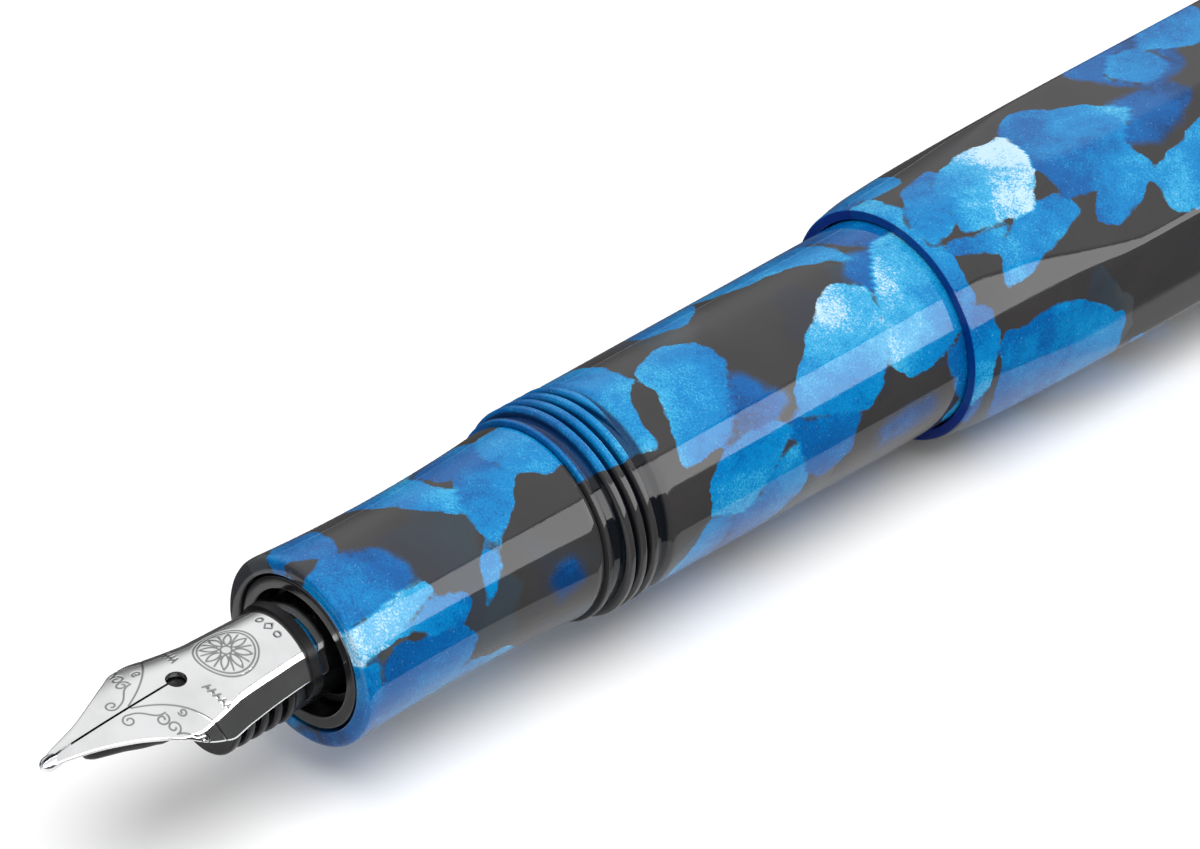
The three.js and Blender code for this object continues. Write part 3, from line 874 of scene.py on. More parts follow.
    def _ray_ring(self) -> bpy.types.NodeTree:
        """Returns the tree of low pointed rays in a ring, facing along the axis."""
        tree, given, result = new_group("ray_ring", "GeometryNodeTree", {
            "Geometry": "Geometry", "Station": 0.0, "Ring Radius": 2.0, "Count": 16, "Length": 1.0,
            "Width": 0.4, "Height": 0.1, "Material": "Material"}, {"Geometry": "Geometry"})
        desk = NodeDesk(tree)
        value = given.outputs
        ring = desk.add("GeometryNodeMeshCircle", {
            "Vertices": value["Count"], "Radius": value["Ring Radius"]}, fill_type="NONE")
        outward = desk.add("GeometryNodeInputPosition").outputs[0]
        facing = desk.add("FunctionNodeAlignRotationToVector", {"Vector": outward}, axis="X")
        size = desk.add("ShaderNodeCombineXYZ", {i: value[side] for i, side in enumerate(
            ("Length", "Width", "Height"))})
        gem = desk.add("GeometryNodeMeshIcoSphere", {"Radius": 0.5, "Subdivisions": 2})
        placed = desk.add("GeometryNodeInstanceOnPoints", {
            "Points": ring.outputs["Mesh"], "Instance": gem.outputs["Mesh"],
            "Rotation": facing.outputs["Rotation"], "Scale": size.outputs[0]})
        self._lay(desk, given, result, placed.outputs["Instances"], value["Station"])
        return tree

    def grow(self, tree: bpy.types.NodeTree, inputs: dict[str, float]) -> Form:
        """Runs a tree once and takes its result as a form.

        Args:
            tree: One of this object's trees.
            inputs: Values for its named inputs.

        Returns:
            The grown form, with its faces outwards.
        """
        carrier = bpy.data.objects.new("grower", bpy.data.meshes.new("grower"))
        bpy.context.scene.collection.objects.link(carrier)
        modifier = carrier.modifiers.new("grow", "NODES")
        modifier.node_group = tree
        values = {**inputs, "Material": self.material}
        for item in tree.interface.items_tree:
            if item.item_type == "SOCKET" and item.in_out == "INPUT" and item.name in values:
                modifier[item.identifier] = values[item.name]
        graph = bpy.context.evaluated_depsgraph_get()
        mesh = bpy.data.meshes.new_from_object(carrier.evaluated_get(graph))
        carrier.modifiers.remove(modifier)
        bpy.data.objects.remove(carrier)
        form = outward(mesh)
        bpy.data.meshes.remove(mesh)
        return form


# ---- the bench


class Body(Enum):
    """Bodies of the frame that pieces ride on."""

    BARREL = "barrel"
    INNER_CAP = "inner_cap"
    CAP = "cap"
    SEAL = "section_seal"
    SECTION = "section"
    NIB = "nib_unit"
    CARTRIDGE = "cartridge"


class Slot(Enum):
    """Material slots of the frame."""

    RESIN = "marbled_resin"
    BLACK = "black_plastic"
    STEEL = "nib_steel"
    PELLET = "nib_pellet"
    RUBBER = "seal_rubber"
    INK = "cartridge_plastic"
    CHROME = "polished_metal"
    ENAMEL = "finial_enamel"


@dataclass
class Bench:
    """Where forms become pieces that ride on the frame.

    Attributes:
        seam: Station zero in the frame, in metres.
        height: Height of the axis in the frame, in metres.
        shapes: The grown shapes.
        effects: The shared surface effects.
    """

    seam: float
    height: float
    shapes: GrownShapes
    effects: SurfaceGroups
    made: int = 0

    def publish(
        self, form: Form, name: str, material: bpy.types.Material, body: Body, slot: Slot, *nodes: str,
        crease: float = 32.0, chips: ChipField | None = None,
    ) -> bpy.types.Object:
        """Makes a form a finished piece.

        Args:
            form: The surface, in the pen's own frame.
            name: The piece's name.
            material: Its finish.
            body: The body it rides on.
            slot: The material slot its finish belongs to; not used.
            *nodes: Frame nodes it stands for.
            crease: Angle between faces, in degrees, above which an edge is crisp.
            chips: Chips that its resin shows.

        Returns:
            The piece.
        """
        mesh = bpy.data.meshes.new(name)
        placed = form.points * MM + np.array([self.seam, 0.0, self.height])
        mesh.from_pydata(placed.tolist(), [], form.faces)
        if chips:
            chips.paint(mesh, form.points)
        mesh.materials.append(material)
        mesh.polygons.foreach_set("use_smooth", [True] * len(mesh.polygons))
        mesh.set_sharp_from_angle(angle=math.radians(crease))
        mesh.update()
        piece = bpy.data.objects.new(name, mesh)
        bpy.context.scene.collection.objects.link(piece)
        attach(piece, body.value)
        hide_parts(*nodes)
        self.made += 1
        log.info("%s: %d faces, rides on %s", name, len(mesh.polygons), body.value)
        return piece


# ---- chips in the resin


CORNER_CUT = 0.12


@dataclass(frozen=True)
class Chip:
    """One chip that shows at the surface.

    Attributes:
        tone: Shade, deep blue at 0 and pearl white at 1.
        soft: Width over which its edge melts into the resin, in millimetres.
        corners: Stations, and degrees round from the top towards the near side.
        fade: Change of tone from its low stations to its high ones.
        spread: How far it has flowed beyond its corners, in millimetres.
    """

    tone: float
    soft: float
    corners: tuple[Point, ...]
    fade: float = 0.0
    spread: float = 0.12

    def reach(self, station: np.ndarray, angle: np.ndarray, radius: float) -> np.ndarray:
        """Signed distance to the chip's edge, positive inside.

        Args:
            station: Stations.
            angle: Degrees round from the top.
            radius: Radius that turns degrees into a length.

        Returns:
            Distances in millimetres.
        """
        ring = np.array(self.corners, float)
        following = np.roll(ring, -1, axis=0)
        cuts = [ring + (following - ring) * share for share in (CORNER_CUT, 1 - CORNER_CUT)]
        ring = np.stack(cuts, axis=1).reshape(-1, 2)
        middle = ring[:, 1].mean()
        unroll = math.radians(1) * radius
        around = ((angle - middle + 180) % 360 - 180) * unroll
        loop = np.column_stack([ring[:, 0], (ring[:, 1] - middle) * unroll])
        nearest = np.full(station.shape, np.inf)
        inside = np.zeros(station.shape, bool)
        for (s0, a0), (s1, a1) in zip(loop, np.roll(loop, -1, axis=0)):
            ds, da = s1 - s0, a1 - a0
            along = (station - s0) * ds + (around - a0) * da
            t = np.clip(along / (ds * ds + da * da + 1e-12), 0, 1)
            nearest = np.minimum(nearest, np.hypot(station - s0 - t * ds, around - a0 - t * da))
            if a0 != a1:
                crosses = (a0 > around) != (a1 > around)
                inside ^= crosses & (station < s0 + (around - a0) * ds / da)
        return np.where(inside, nearest, -nearest) + self.spread


@dataclass
class ChipField:
    """Every chip in one piece of resin: those listed one by one and a scatter over the rest.

    Attributes:
        placed: Chips listed one by one, with the uppermost last.
        span: Stations that the piece covers.
        window: Stations and degrees left free of the scatter.
        radius: Radius that turns degrees into a length.
        seed: Seed of the scatter.
        shaded_walls_to: Station up to which inner walls get painted shade, in navy.
        shaded_faces_to: Station up to which forward faces get painted shade too.
        spacing: Distance between scattered chips.
        share_kept: Share of the scattered chips that are kept.
        thread: First and last station of a thread, its crest radius and its depth, which place the painted
            shade in its groove.
    """

    placed: tuple[Chip, ...]
    span: Point
    window: tuple[Point, Point]
    radius: float
    seed: int
    shaded_walls_to: float
    shaded_faces_to: float = -99.0
    spacing: float = 4.3
    share_kept: float = 0.72
    thread: tuple[float, float, float, float] = (0.0, 0.0, 1.0, 1.0)

    @property
    def unroll(self) -> float:
        """Length of one degree round the surface."""
        return math.radians(1) * self.radius

    def _outline(self, draw: np.random.Generator, station: float, angle: float) -> tuple[Point, ...]:
        """Draws a scattered chip's corners.

        Args:
            draw: The field's random source.
            station: Station of its middle.
            angle: Degrees round of its middle.

        Returns:
            The corners.
        """
        turn = draw.uniform(0, math.pi)
        size = draw.uniform(2.0, 4.3)
        squash = draw.uniform(0.45, 0.95)
        count = int(draw.integers(5, 8))
        corners = []
        for c in range(count):
            way = 2 * math.pi * (c + draw.uniform(-0.25, 0.25)) / count
            u = size * draw.uniform(0.6, 1.2) * math.cos(way)
            v = size * squash * draw.uniform(0.6, 1.2) * math.sin(way)
            along = u * math.cos(turn) - v * math.sin(turn)
            across = u * math.sin(turn) + v * math.cos(turn)
            corners.append((station + along, angle + across / self.unroll))
        return tuple(corners)

    def _scatter(self) -> list[Chip]:
        """Returns chips over the part of the surface outside the window."""
        draw = np.random.default_rng(self.seed)
        chips = []
        rows = int((self.span[1] - self.span[0]) / self.spacing) + 2
        columns = int(360 * self.unroll / self.spacing)
        (s_low, s_high), (a_low, a_high) = self.window
        for i in range(rows):
            for k in range(columns):
                jitter = draw.uniform(-0.42, 0.42, 2)
                station = self.span[0] + (i + jitter[0]) * self.spacing
                angle = (k + jitter[1] + 0.5 * (i % 2)) * 360 / columns
                corners = self._outline(draw, station, angle)
                tone, soft, lot = draw.uniform(0.25, 0.75), draw.uniform(0.02, 0.5) ** 2, draw.uniform()
                folded = (angle + 180) % 360 - 180
                hidden = s_low < station < s_high and a_low < folded < a_high
                if lot < self.share_kept and not hidden:
                    chips.append(Chip(tone, soft + 0.02, corners, float(draw.uniform(-0.3, 0.3))))
        return chips

    def _lay(self, station: np.ndarray, angle: np.ndarray) -> dict[str, np.ndarray]:
        """Lays every chip on the surface, the last one uppermost.

        Args:
            station: Stations of the surface's vertices.
            angle: Their degrees round from the top.

        Returns:
            Distance inside the nearest edge, tone, softness and distance to the nearest line.
        """
        count = len(station)
        cover, tone = np.full(count, -9.0), np.zeros(count)
        soft, line = np.full(count, 0.1), np.full(count, 9.0)
        draw = np.random.default_rng(self.seed + 1)
        for chip in [*self._scatter(), *self.placed]:
            turn, swing = draw.uniform(0, 2 * math.pi), draw.uniform(0.03, 0.075)
            places, angles = zip(*chip.corners)
            low, high = min(places), max(places)
            near = (station > low - 1.5) & (station < high + 1.5)
            if not near.any():
                continue
            reach = chip.reach(station[near], angle[near], self.radius)
            share = (station[near] - low) / max(high - low, 1e-6) - 0.5
            around = ((angle[near] - float(np.mean(angles)) + 180) % 360 - 180) * self.unroll
            along = station[near] - (high + low) / 2
            lean = swing * np.clip(along * math.cos(turn) + around * math.sin(turn), -3.5, 3.5)
            inside = reach > 0
            owner = inside | ((cover[near] <= 0) & (reach > cover[near]))
            shade = chip.tone + lean + chip.fade * np.clip(share, -0.6, 0.6)
            tone[near] = np.where(owner, shade, tone[near])
            soft[near] = np.where(owner, chip.soft, soft[near])
            line[near] = np.where(inside, reach, np.minimum(line[near], np.abs(reach)))
            cover[near] = np.maximum(cover[near], reach)
        return {"chip_cover": cover, "chip_tone": tone, "chip_soft": soft, "chip_line": line}

    def paint(self, mesh: bpy.types.Mesh, points: np.ndarray) -> None:
        """Stores the chips on a mesh as attributes for its finish, with the marks for its painted shade.

        Args:
            mesh: The mesh.
            points: Its vertices in the pen's own frame.
        """
        station = points[:, 0]
        fields = self._lay(station, np.degrees(np.arctan2(-points[:, 1], points[:, 2])))
        radius = np.hypot(points[:, 1], points[:, 2])
        normals = np.zeros(len(points) * 3)
        mesh.vertex_normals.foreach_get("vector", normals)
        normals = normals.reshape(-1, 3)
        outwards = (normals[:, 1:] * points[:, 1:]).sum(axis=1) / np.maximum(radius, 1e-6)
        # Painted shade: inner walls, and forward faces near the mouth, are marked to be painted navy.
        inner = (station < self.shaded_walls_to) & (outwards < -0.3)
        inner |= (station < self.shaded_faces_to) & (normals[:, 0] < -0.75)
        # Painted shade: how deep each vertex lies in a thread's groove, for the finish to darken.
        low, high, crest, depth = self.thread
        fields["chip_inner"] = inner
        fields["chip_groove"] = np.where(
            (station > low) & (station < high), np.clip((crest - radius) / depth, 0, 1), 0)
        for name, values in fields.items():
            store(mesh, name, values)


def store(mesh: bpy.types.Mesh, name: str, values: np.ndarray) -> None:
    """Stores one value for each vertex of a mesh.

    Args:
        mesh: The mesh.
        name: The attribute's name.
        values: Its values.
    """
    layer = mesh.attributes.new(name, "FLOAT", "POINT")
    layer.data.foreach_set("value", np.asarray(values, np.float32))


# ---- the nib unit


@dataclass(frozen=True)
class SheetRow:
    """The nib's cross-section at one station.

    Attributes:
        at: Station.
        crown: Height of the centreline.
        dome: Length from the centreline to the bend.
        lean: Degrees the dome turns.
        bend: Length of the bend.
        fall: Degrees below level on the flank.
        flank: Length of the flat flank.
    """

    at: float
    crown: float
    dome: float
    lean: float
    bend: float
    fall: float
    flank: float


@dataclass(frozen=True)
class Curl:
    """A spiral in the engraving.

    Attributes:
        along: Station from the border's start.
        across: Distance from the centreline.
        radii: Radius at its outer and inner ends.
        start: Angle of its outer end, in degrees.
        sweep: Degrees it turns.
    """

    along: float
    across: float
    radii: Point
    start: float
    sweep: float


@dataclass
class Engraving:
    """Lines cut into the nib, drawn as stations and distances from the centreline.

    Attributes:
        emblem: Station of the round emblem's centre.
        emblem_radius: Radius of its outer ring.
        petals: Petals in its rosette.
        border_start: Station where the border leaves the slit.
        beads: Ticks with a bead each in the border.
        collar_mark: Station of the small diamond near the collar.
        depth: Depth of a cut.
        width: Half width of a cut.
        curls: Spirals of the border.
        vines: Control points of its stems, from the border's start.
    """

    emblem: float = -19.35
    emblem_radius: float = 1.5
    petals: int = 8
    border_start: float = -25.0
    beads: int = 5
    collar_mark: float = -16.8
    depth: float = 0.026
    width: float = 0.08
    curls: tuple[Curl, ...] = (
        Curl(-0.55, 0.62, (0.34, 0.1), -60, -430),
        Curl(0.72, 1.42, (0.34, 0.1), -20, 420),
        Curl(0.9, 2.02, (0.36, 0.1), 100, -420),
        Curl(2.0, 3.32, (0.3, 0.08), -80, 430),
        Curl(1.75, 1.62, (0.22, 0.07), 200, -400),
    )
    vines: tuple[tuple[Point, ...], ...] = (
        ((0.0, 0.1), (1.5, 0.75), (2.6, 1.75), (3.3, 3.9)),
        ((-0.36, 0.34), (0.4, 0.5), (0.35, 1.25), (1.05, 1.2)),
        ((0.85, 2.38), (1.5, 2.5), (1.4, 3.1), (2.1, 3.0)),
    )

    @staticmethod
    def _arc(centre: Point, radii: Any, start: float, sweep: float, steps: int = 48) -> np.ndarray:
        """Draws an arc or a spiral.

        Args:
            centre: Its centre.
            radii: One radius, or one for each end.
            start: Angle of its first end, in degrees.
            sweep: Degrees it turns.
            steps: Points on it.

        Returns:
            The points.
        """
        turn = np.radians(start + np.linspace(0, sweep, steps))
        size = np.linspace(*np.broadcast_to(np.asarray(radii, float), (2,)), steps)
        return np.column_stack([centre[0] + size * np.cos(turn), centre[1] + size * np.sin(turn)])

    @staticmethod
    def _sweep(knots: Sequence[Any], steps: int = 30) -> np.ndarray:
        """Draws a Bezier curve.

        Args:
            knots: Its control points.
            steps: Points on it.

        Returns:
            The points.
        """
        t = np.linspace(0, 1, steps)[:, None]
        order = len(knots) - 1
        return sum(
            math.comb(order, i) * (1 - t) ** (order - i) * t**i * np.array(knot)
            for i, knot in enumerate(knots))

    def _rosette(self) -> list[np.ndarray]:
        """Returns the emblem's strokes: two rings, a heart and its petals with a ray between each two."""
        centre = (self.emblem, 0.0)
        size = self.emblem_radius
        lines = [self._arc(centre, ring, 0, 180, 90) for ring in (size, size - 0.17)]
        lines.append(self._arc(centre, 0.26, 0, 180))
        for k in range(self.petals + 1):
            turn = math.radians(180 * k / self.petals)
            tip = np.array([math.cos(turn), math.sin(turn)])
            side = np.array([-tip[1], tip[0]])
            if k % 2:
                lines.append(np.array([centre + tip * 0.45, centre + tip * 1.18]))
                continue
            for hand in (-1, 1):
                middle = centre + tip * 0.7 + side * 0.34 * hand
                lines.append(self._sweep((centre + tip * 0.3, middle, centre + tip * 1.2)))
        return lines

    def _border(self) -> list[np.ndarray]:
        """Returns the border's strokes: stems, spirals, and ticks with a bead each."""
        start = self.border_start
        lines = [self._sweep([(start + along, across) for along, across in vine]) for vine in self.vines]
        for curl in self.curls:
            lines.append(self._arc((start + curl.along, curl.across), curl.radii, curl.start, curl.sweep))
        for k in range(self.beads):
            across = 1.05 + 0.3 * k
            along = start + 3.35 + 0.08 * k
            lines.append(np.array([[along, across], [along + 0.4, across + 0.1]]))
            lines.append(self._arc((along + 0.2, across + 0.16), 0.05, 0, 360, 9))
        return lines

    def strokes(self) -> list[np.ndarray]:
        """Returns every stroke on the side where the distance is positive."""
        mark = self.collar_mark
        diamond = np.array([[mark - 0.25, 0.0], [mark, 0.22], [mark + 0.25, 0.0]])
        return [*self._rosette(), *self._border(), diamond, self._arc((mark, 0.62), 0.16, 0, 360, 20)]

    def cut(self, station: np.ndarray, across: np.ndarray) -> np.ndarray:
        """Depth of the cut at each place.

        Args:
            station: Stations.
            across: Distances from the centreline.

        Returns:
            Depths, zero off the lines.
        """
        starts, ends = [], []
        for line in self.strokes():
            starts.append(line[:-1])
            ends.append(line[1:])
        first, last = np.vstack(starts), np.vstack(ends)
        way = last - first
        length = np.maximum((way**2).sum(axis=1), 1e-9)
        spots = np.column_stack([station.ravel(), across.ravel()])
        nearest = np.full(len(spots), np.inf)
        for i in range(0, len(spots), 4000):
            block = spots[i : i + 4000, None, :]
            t = np.clip(((block - first) * way).sum(axis=2) / length, 0, 1)
            gap = np.linalg.norm(block - (first + t[..., None] * way), axis=2)
            nearest[i : i + 4000] = gap.min(axis=1)
        share = np.clip(1 - nearest / self.width, 0, 1)
        return (self.depth * share**2 * (3 - 2 * share)).reshape(station.shape)


@dataclass
class NibUnit:
    """Nib, tipping, feed and the housing that carries them, screwed in slightly past upright.

    Attributes:
        edge_rounding: Width and depth of its rounded edge.
        columns: Points across the dome, the bend and the flank.
        rows: Points along the part that shows.
        pellet_tail: Length of the tipping behind its middle.
        pellet_drop: How far its middle lies below the nib's centreline.
        feed_depths: Depth of the feed at its stations.
        feed_edges: How square its underside is at its stations, round at 1.
        collar: Stations of the housing's shaped collar, and its height over the nib.
    """

    roll: float = 7.0
    tip: float = -29.75
    rear: float = -9.0
    visible_rear: float = -16.35
    thickness: float = 0.28
    edge_rounding: Point = (0.09, 0.035)
    hole: float = -22.3
    hole_radius: float = 0.5
    slit_half: float = 0.06
    columns: tuple[int, int, int] = (48, 10, 16)
    rows: int = 300
    pellet_end: float = -30.1
    pellet_radius: float = 0.37
    pellet_tail: float = 0.95
    pellet_drop: float = 0.2
    feed_depths: tuple[Point, ...] = (
        (-27.8, 0.55), (-27.4, 0.8), (-26.0, 1.0), (-25.0, 1.15), (-24.0, 1.05), (-23.0, 1.05), (-22.0, 1.3),
        (-21.0, 2.2), (-16.2, 3.5), (-15.0, 3.6))
    feed_edges: tuple[Point, ...] = ((-27.8, 0.45), (-23.0, 0.6), (-21.0, 1.0), (-15.0, 1.0))
    feed_gap: float = 0.1
    fins: dict[str, float] = field(default_factory=lambda: {
        "First": -20.7, "Pitch": 0.82, "Count": 5, "Thickness": 0.44, "Radius": 2.42,
        "Sweep": math.radians(234)})
    collar: tuple[Point, ...] = ((-16.24, 0.1), (-16.2, 0.2), (-15.75, 0.24), (-15.6, -0.1), (-13.2, -0.1))
    engraving: Engraving = field(default_factory=Engraving)
    sheet: tuple[SheetRow, ...] = (
        SheetRow(-29.75, 1.98, 0.31, 25, 0.01, 25, 0.01),
        SheetRow(-29.0, 2.17, 0.52, 25, 0.01, 25, 0.01),
        SheetRow(-27.5, 2.33, 0.95, 22, 0.01, 22, 0.01),
        SheetRow(-26.0, 2.46, 1.58, 18, 0.01, 18, 0.01),
        SheetRow(-24.8, 2.54, 2.19, 22, 0.02, 24, 0.02),
        SheetRow(-23.9, 2.59, 2.64, 27, 0.12, 66, 0.10),
        SheetRow(-23.0, 2.64, 2.74, 31, 0.22, 66, 0.44),
        SheetRow(-22.0, 2.68, 2.56, 35, 0.30, 65, 0.92),
        SheetRow(-21.0, 2.72, 2.35, 38, 0.34, 64, 1.28),
        SheetRow(-20.0, 2.76, 2.16, 40, 0.35, 63, 1.26),
        SheetRow(-18.0, 2.80, 2.03, 40, 0.35, 63, 1.15),
        SheetRow(-16.35, 2.82, 1.95, 40, 0.35, 63, 1.12),
        SheetRow(-9.0, 2.82, 1.95, 40, 0.35, 63, 1.12),
    )

    def __post_init__(self) -> None:
        """Reads the cross-section table into smooth curves."""
        self.cuts: dict[tuple[float, float, float], float] = {}
        names = ("crown", "dome", "lean", "bend", "fall", "flank")
        self.curves = {
            name: [(row.at, float(getattr(row, name))) for row in self.sheet] for name in names
        }

    def _measure(self, name: str, station: float) -> float:
        """Reads one of the cross-section's measures at a station."""
        return float(through(self.curves[name], station))

    def _breadth(self, station: float) -> float:
        """Length across the upper face, from the centreline to the edge."""
        return sum(self._measure(name, station) for name in ("dome", "bend", "flank"))

    def _across(self, station: float, widths: np.ndarray) -> tuple[np.ndarray, np.ndarray]:
        """Follows the upper face outwards.

        Args:
            station: Station of the row.
            widths: Lengths from the centreline, measured on the face.

        Returns:
            Places and outward directions, as Y and Z.
        """
        dome, bend, flank = (self._measure(name, station) for name in ("dome", "bend", "flank"))
        lean, fall = (math.radians(self._measure(name, station)) for name in ("lean", "fall"))
        walk = np.linspace(0, dome + bend + flank, 240)
        turn = np.interp(walk, [0, dome, dome + bend], [0, lean, fall])
        step = np.diff(walk, prepend=0)
        y = np.cumsum(np.cos(turn) * step)
        z = self._measure("crown", station) - np.cumsum(np.sin(turn) * step)
        slope = np.interp(widths, walk, turn)
        place = np.column_stack([np.interp(widths, walk, y), np.interp(widths, walk, z)])
        return place, np.column_stack([np.sin(slope), np.cos(slope)])

    def _inner(self, station: float) -> float:
        """Finds where the sheet begins beside the centreline.

        Args:
            station: Station of the row.

        Returns:
            Distance to the slit, the breather hole or the other half.
        """
        off = station - self.hole
        round_hole = math.sqrt(max(0.0, self.hole_radius**2 - off**2))
        return max(round_hole, self.slit_half if off < 0 else 0.0)

    def _half_sheet(self) -> Form:
        """Returns one half of the nib, with its engraving cut in."""
        dense = np.linspace(self.tip, self.visible_rear, self.rows)
        ring = self.hole + self.hole_radius * np.cos(np.linspace(0, math.pi, 33))
        stations = np.unique(np.round(np.concatenate([
            dense[np.abs(dense - self.hole) > self.hole_radius], ring, [-14.0, -11.5, self.rear]]), 5))
        upper, lower, places, widths = [], [], [], []
        top_columns, bend_columns, flank_columns = self.columns
        for station in stations:
            dome, bend = self._measure("dome", station), self._measure("bend", station)
            width = np.concatenate([
                np.linspace(self._inner(station), dome, top_columns),
                np.linspace(dome, dome + bend, bend_columns)[1:],
                np.linspace(dome + bend, self._breadth(station), flank_columns)[1:]])
            place, out = self._across(station, width)
            at = np.full((len(width), 1), station)
            level = np.zeros((len(width), 1))
            upper.append(np.hstack([at, place]))
            lower.append(np.hstack([at, place - out * self.thickness]))
            places.append(np.hstack([level, out]))
            widths.append(width)
        top, under, out = np.array(upper), np.array(lower), np.array(places)
        across = np.array(widths)
        at = np.repeat(stations[:, None], across.shape[1], axis=1)
        depth = self.engraving.cut(at, across)
        reach, drop = self.edge_rounding
        rounding = drop * (1 - np.minimum(across[:, -1:] - across, reach) / reach) ** 2
        top = top - out * (depth + rounding)[..., None]
        count, width = top.shape[:2]
        points = np.vstack([top.reshape(-1, 3), under.reshape(-1, 3)])
        shares = depth.ravel() / self.engraving.depth
        self.cuts = {
            self._spot(point): float(share)
            for point, share in zip(top.reshape(-1, 3), shares) if share > 0.01}
        shift = count * width
        index = np.arange(shift).reshape(count, width)
        faces: list[tuple[int, ...]] = []
        for i in range(count - 1):
            for k in range(width - 1):
                cell = index[i : i + 2, k : k + 2]
                a, d, b, c = (int(v) for v in cell.ravel())
                faces.append((a, b, c, d))
                faces.append((d + shift, c + shift, b + shift, a + shift))
        rim = [int(v) for v in (*index[:, 0], *index[-1, 1:], *index[-2::-1, -1], *index[0, -2:0:-1])]
        centred = np.abs(points[:, 1]) < 1e-6
        for a, b in zip(rim, rim[1:] + rim[:1]):
            if centred[a] and centred[b]:
                continue
            faces.append((b, a, a + shift, b + shift))
        return Form(points, faces)

    def _nib(self) -> Form:
        """Returns both halves, joined behind the breather hole."""
        half = self._half_sheet()
        return half.joined(half.mirrored()).welded()

    @staticmethod
    def _spot(point: np.ndarray) -> tuple[float, float, float]:
        """Returns a place that both halves of the nib share, rounded."""
        station, y, z = (float(value) for value in point)
        return round(station, 4), round(abs(y), 4), round(z, 4)

    def _mark_cuts(self, mesh: bpy.types.Mesh, points: np.ndarray) -> None:
        """Stores how deep each vertex lies in the engraving, for the finish to darken with painted shade.

        Args:
            mesh: The nib's mesh.
            points: Its vertices before the unit is turned.
        """
        store(mesh, "engraved", np.array([self.cuts.get(self._spot(point), 0.0) for point in points]))

    def _pellet(self) -> Form:
        """Returns one half of the tipping, under and round the tip."""
        middle = self.tip + 0.15
        reach = middle - self.pellet_end
        outline = []
        for t in np.linspace(0, math.pi, 25):
            length = reach if t < math.pi / 2 else self.pellet_tail
            outline.append((middle - length * math.cos(t), max(self.pellet_radius * math.sin(t), 1e-4)))
        form = ring_stack(outline, 48, closed=False)
        form.points[:, 2] += self._measure("crown", self.tip) - self.pellet_drop
        form.points[:, 1] = np.maximum(form.points[:, 1], self.slit_half)
        return form.welded()

    def _feed(self, shapes: GrownShapes) -> Form:
        """Builds the feed.

        Args:
            shapes: The grown shapes.

        Returns:
            A tongue under the nib, fins, and a round shank in the housing.
        """
        rings = []
        for station in np.linspace(self.feed_depths[0][0], self.feed_depths[-1][0], 60):
            spread = min(0.74 * self._breadth(station), 1.95)
            side = np.linspace(spread, 0, 15)
            place, out = self._across(station, side)
            place = place - out * (self.thickness + self.feed_gap)
            edge_y, edge_z = place[0]
            depth = float(through(self.feed_depths, station))
            turn = np.linspace(0, math.pi, 34)
            power = float(through(self.feed_edges, station))
            side_way = np.sign(np.cos(turn)) * np.abs(np.cos(turn)) ** power
            under = np.column_stack([-edge_y * side_way, edge_z - 0.06 - depth * np.sin(turn) ** power])
            upper = np.vstack([place, (place * [-1, 1])[-2::-1]])
            loop = np.vstack([upper, under])
            rings.append(np.column_stack([np.full(len(loop), station), loop]))
        form = skinned(rings)
        shank = turned([
            Corner(-16.9, 2.25, 0.1), Corner(-6.6, 2.25, 0.1), Corner(-6.6, 0.72, 0.05),
            Corner(-3.4, 0.72, 0.15), Corner(-3.4, 0.3)], 64)
        return form.joined(shank).joined(shapes.grow(shapes.fins, self.fins))

    def _housing(self) -> Form:
        """Returns the sleeve that holds nib and feed, with a collar shaped to the nib at its front."""
        rings = []
        for station, lift in self.collar:
            place, out = self._across(station, np.linspace(self._breadth(station), 0, 30))
            upper = place + out * lift
            upper[0] += [0.0, -0.25]
            edge_y, edge_z = upper[0]
            turn = np.linspace(0, math.pi, 40)
            under = np.column_stack([-edge_y * np.cos(turn), edge_z - 0.02 - 2.2 * np.sin(turn)])
            loop = np.vstack([upper, (upper * [-1, 1])[-2::-1], under])
            rings.append(np.column_stack([np.full(len(loop), station), loop]))
        collar = skinned(rings)
        sleeve = turned([
            Corner(-13.6, 2.6, 0.04), Corner(-13.6, 3.05, 0.1), Corner(-5.2, 3.05, 0.1),
            Corner(-5.2, 1.3, 0.05), Corner(-6.2, 1.3, 0.05), Corner(-6.2, 2.9, 0.1),
            Corner(-12.9, 2.9, 0.05)], closed=True)
        return collar.joined(sleeve)

    def build(self, bench: Bench) -> None:
        """Builds and dresses the unit.

        Args:
            bench: Where pieces are published.
        """
        effects = bench.effects
        steel = EngravedSteel("nib_steel", (0.76, 0.765, 0.77), polish=0.06, hairlines=0.03).build(effects)
        tipping = Metal("tipping", (0.78, 0.79, 0.81), polish=0.16, hairlines=0.1).build(effects)
        black = Moulding("feed_plastic", (0.003, 0.003, 0.0034), 0.24, 0.2).build(effects)
        gloss = Moulding("housing_plastic", (0.0015, 0.0015, 0.0018), 0.36, 0.2).build(effects)
        spin = np.array(Matrix.Rotation(math.radians(self.roll), 3, "X"))

        def rolled(form: Form) -> Form:
            """Turns a form with the unit."""
            return Form(form.points @ spin.T, form.faces)

        sheet, pellet = self._nib(), self._pellet()
        nib = bench.publish(rolled(sheet), "nib_sheet", steel, Body.NIB, Slot.STEEL, "nib", crease=40.0)
        self._mark_cuts(nib.data, sheet.points)
        for half, side in ((pellet, "left"), (pellet.mirrored(), "right")):
            name, node = f"nib_tip_{side}_half", f"nib_tip_{side}"
            bench.publish(rolled(half), name, tipping, Body.NIB, Slot.PELLET, node)
        bench.publish(rolled(self._feed(bench.shapes)), "finned_feed", black, Body.NIB, Slot.BLACK, "feed")
        bench.publish(rolled(self._housing()), "nib_sleeve", gloss, Body.NIB, Slot.BLACK, "nib_housing")


# ---- the section


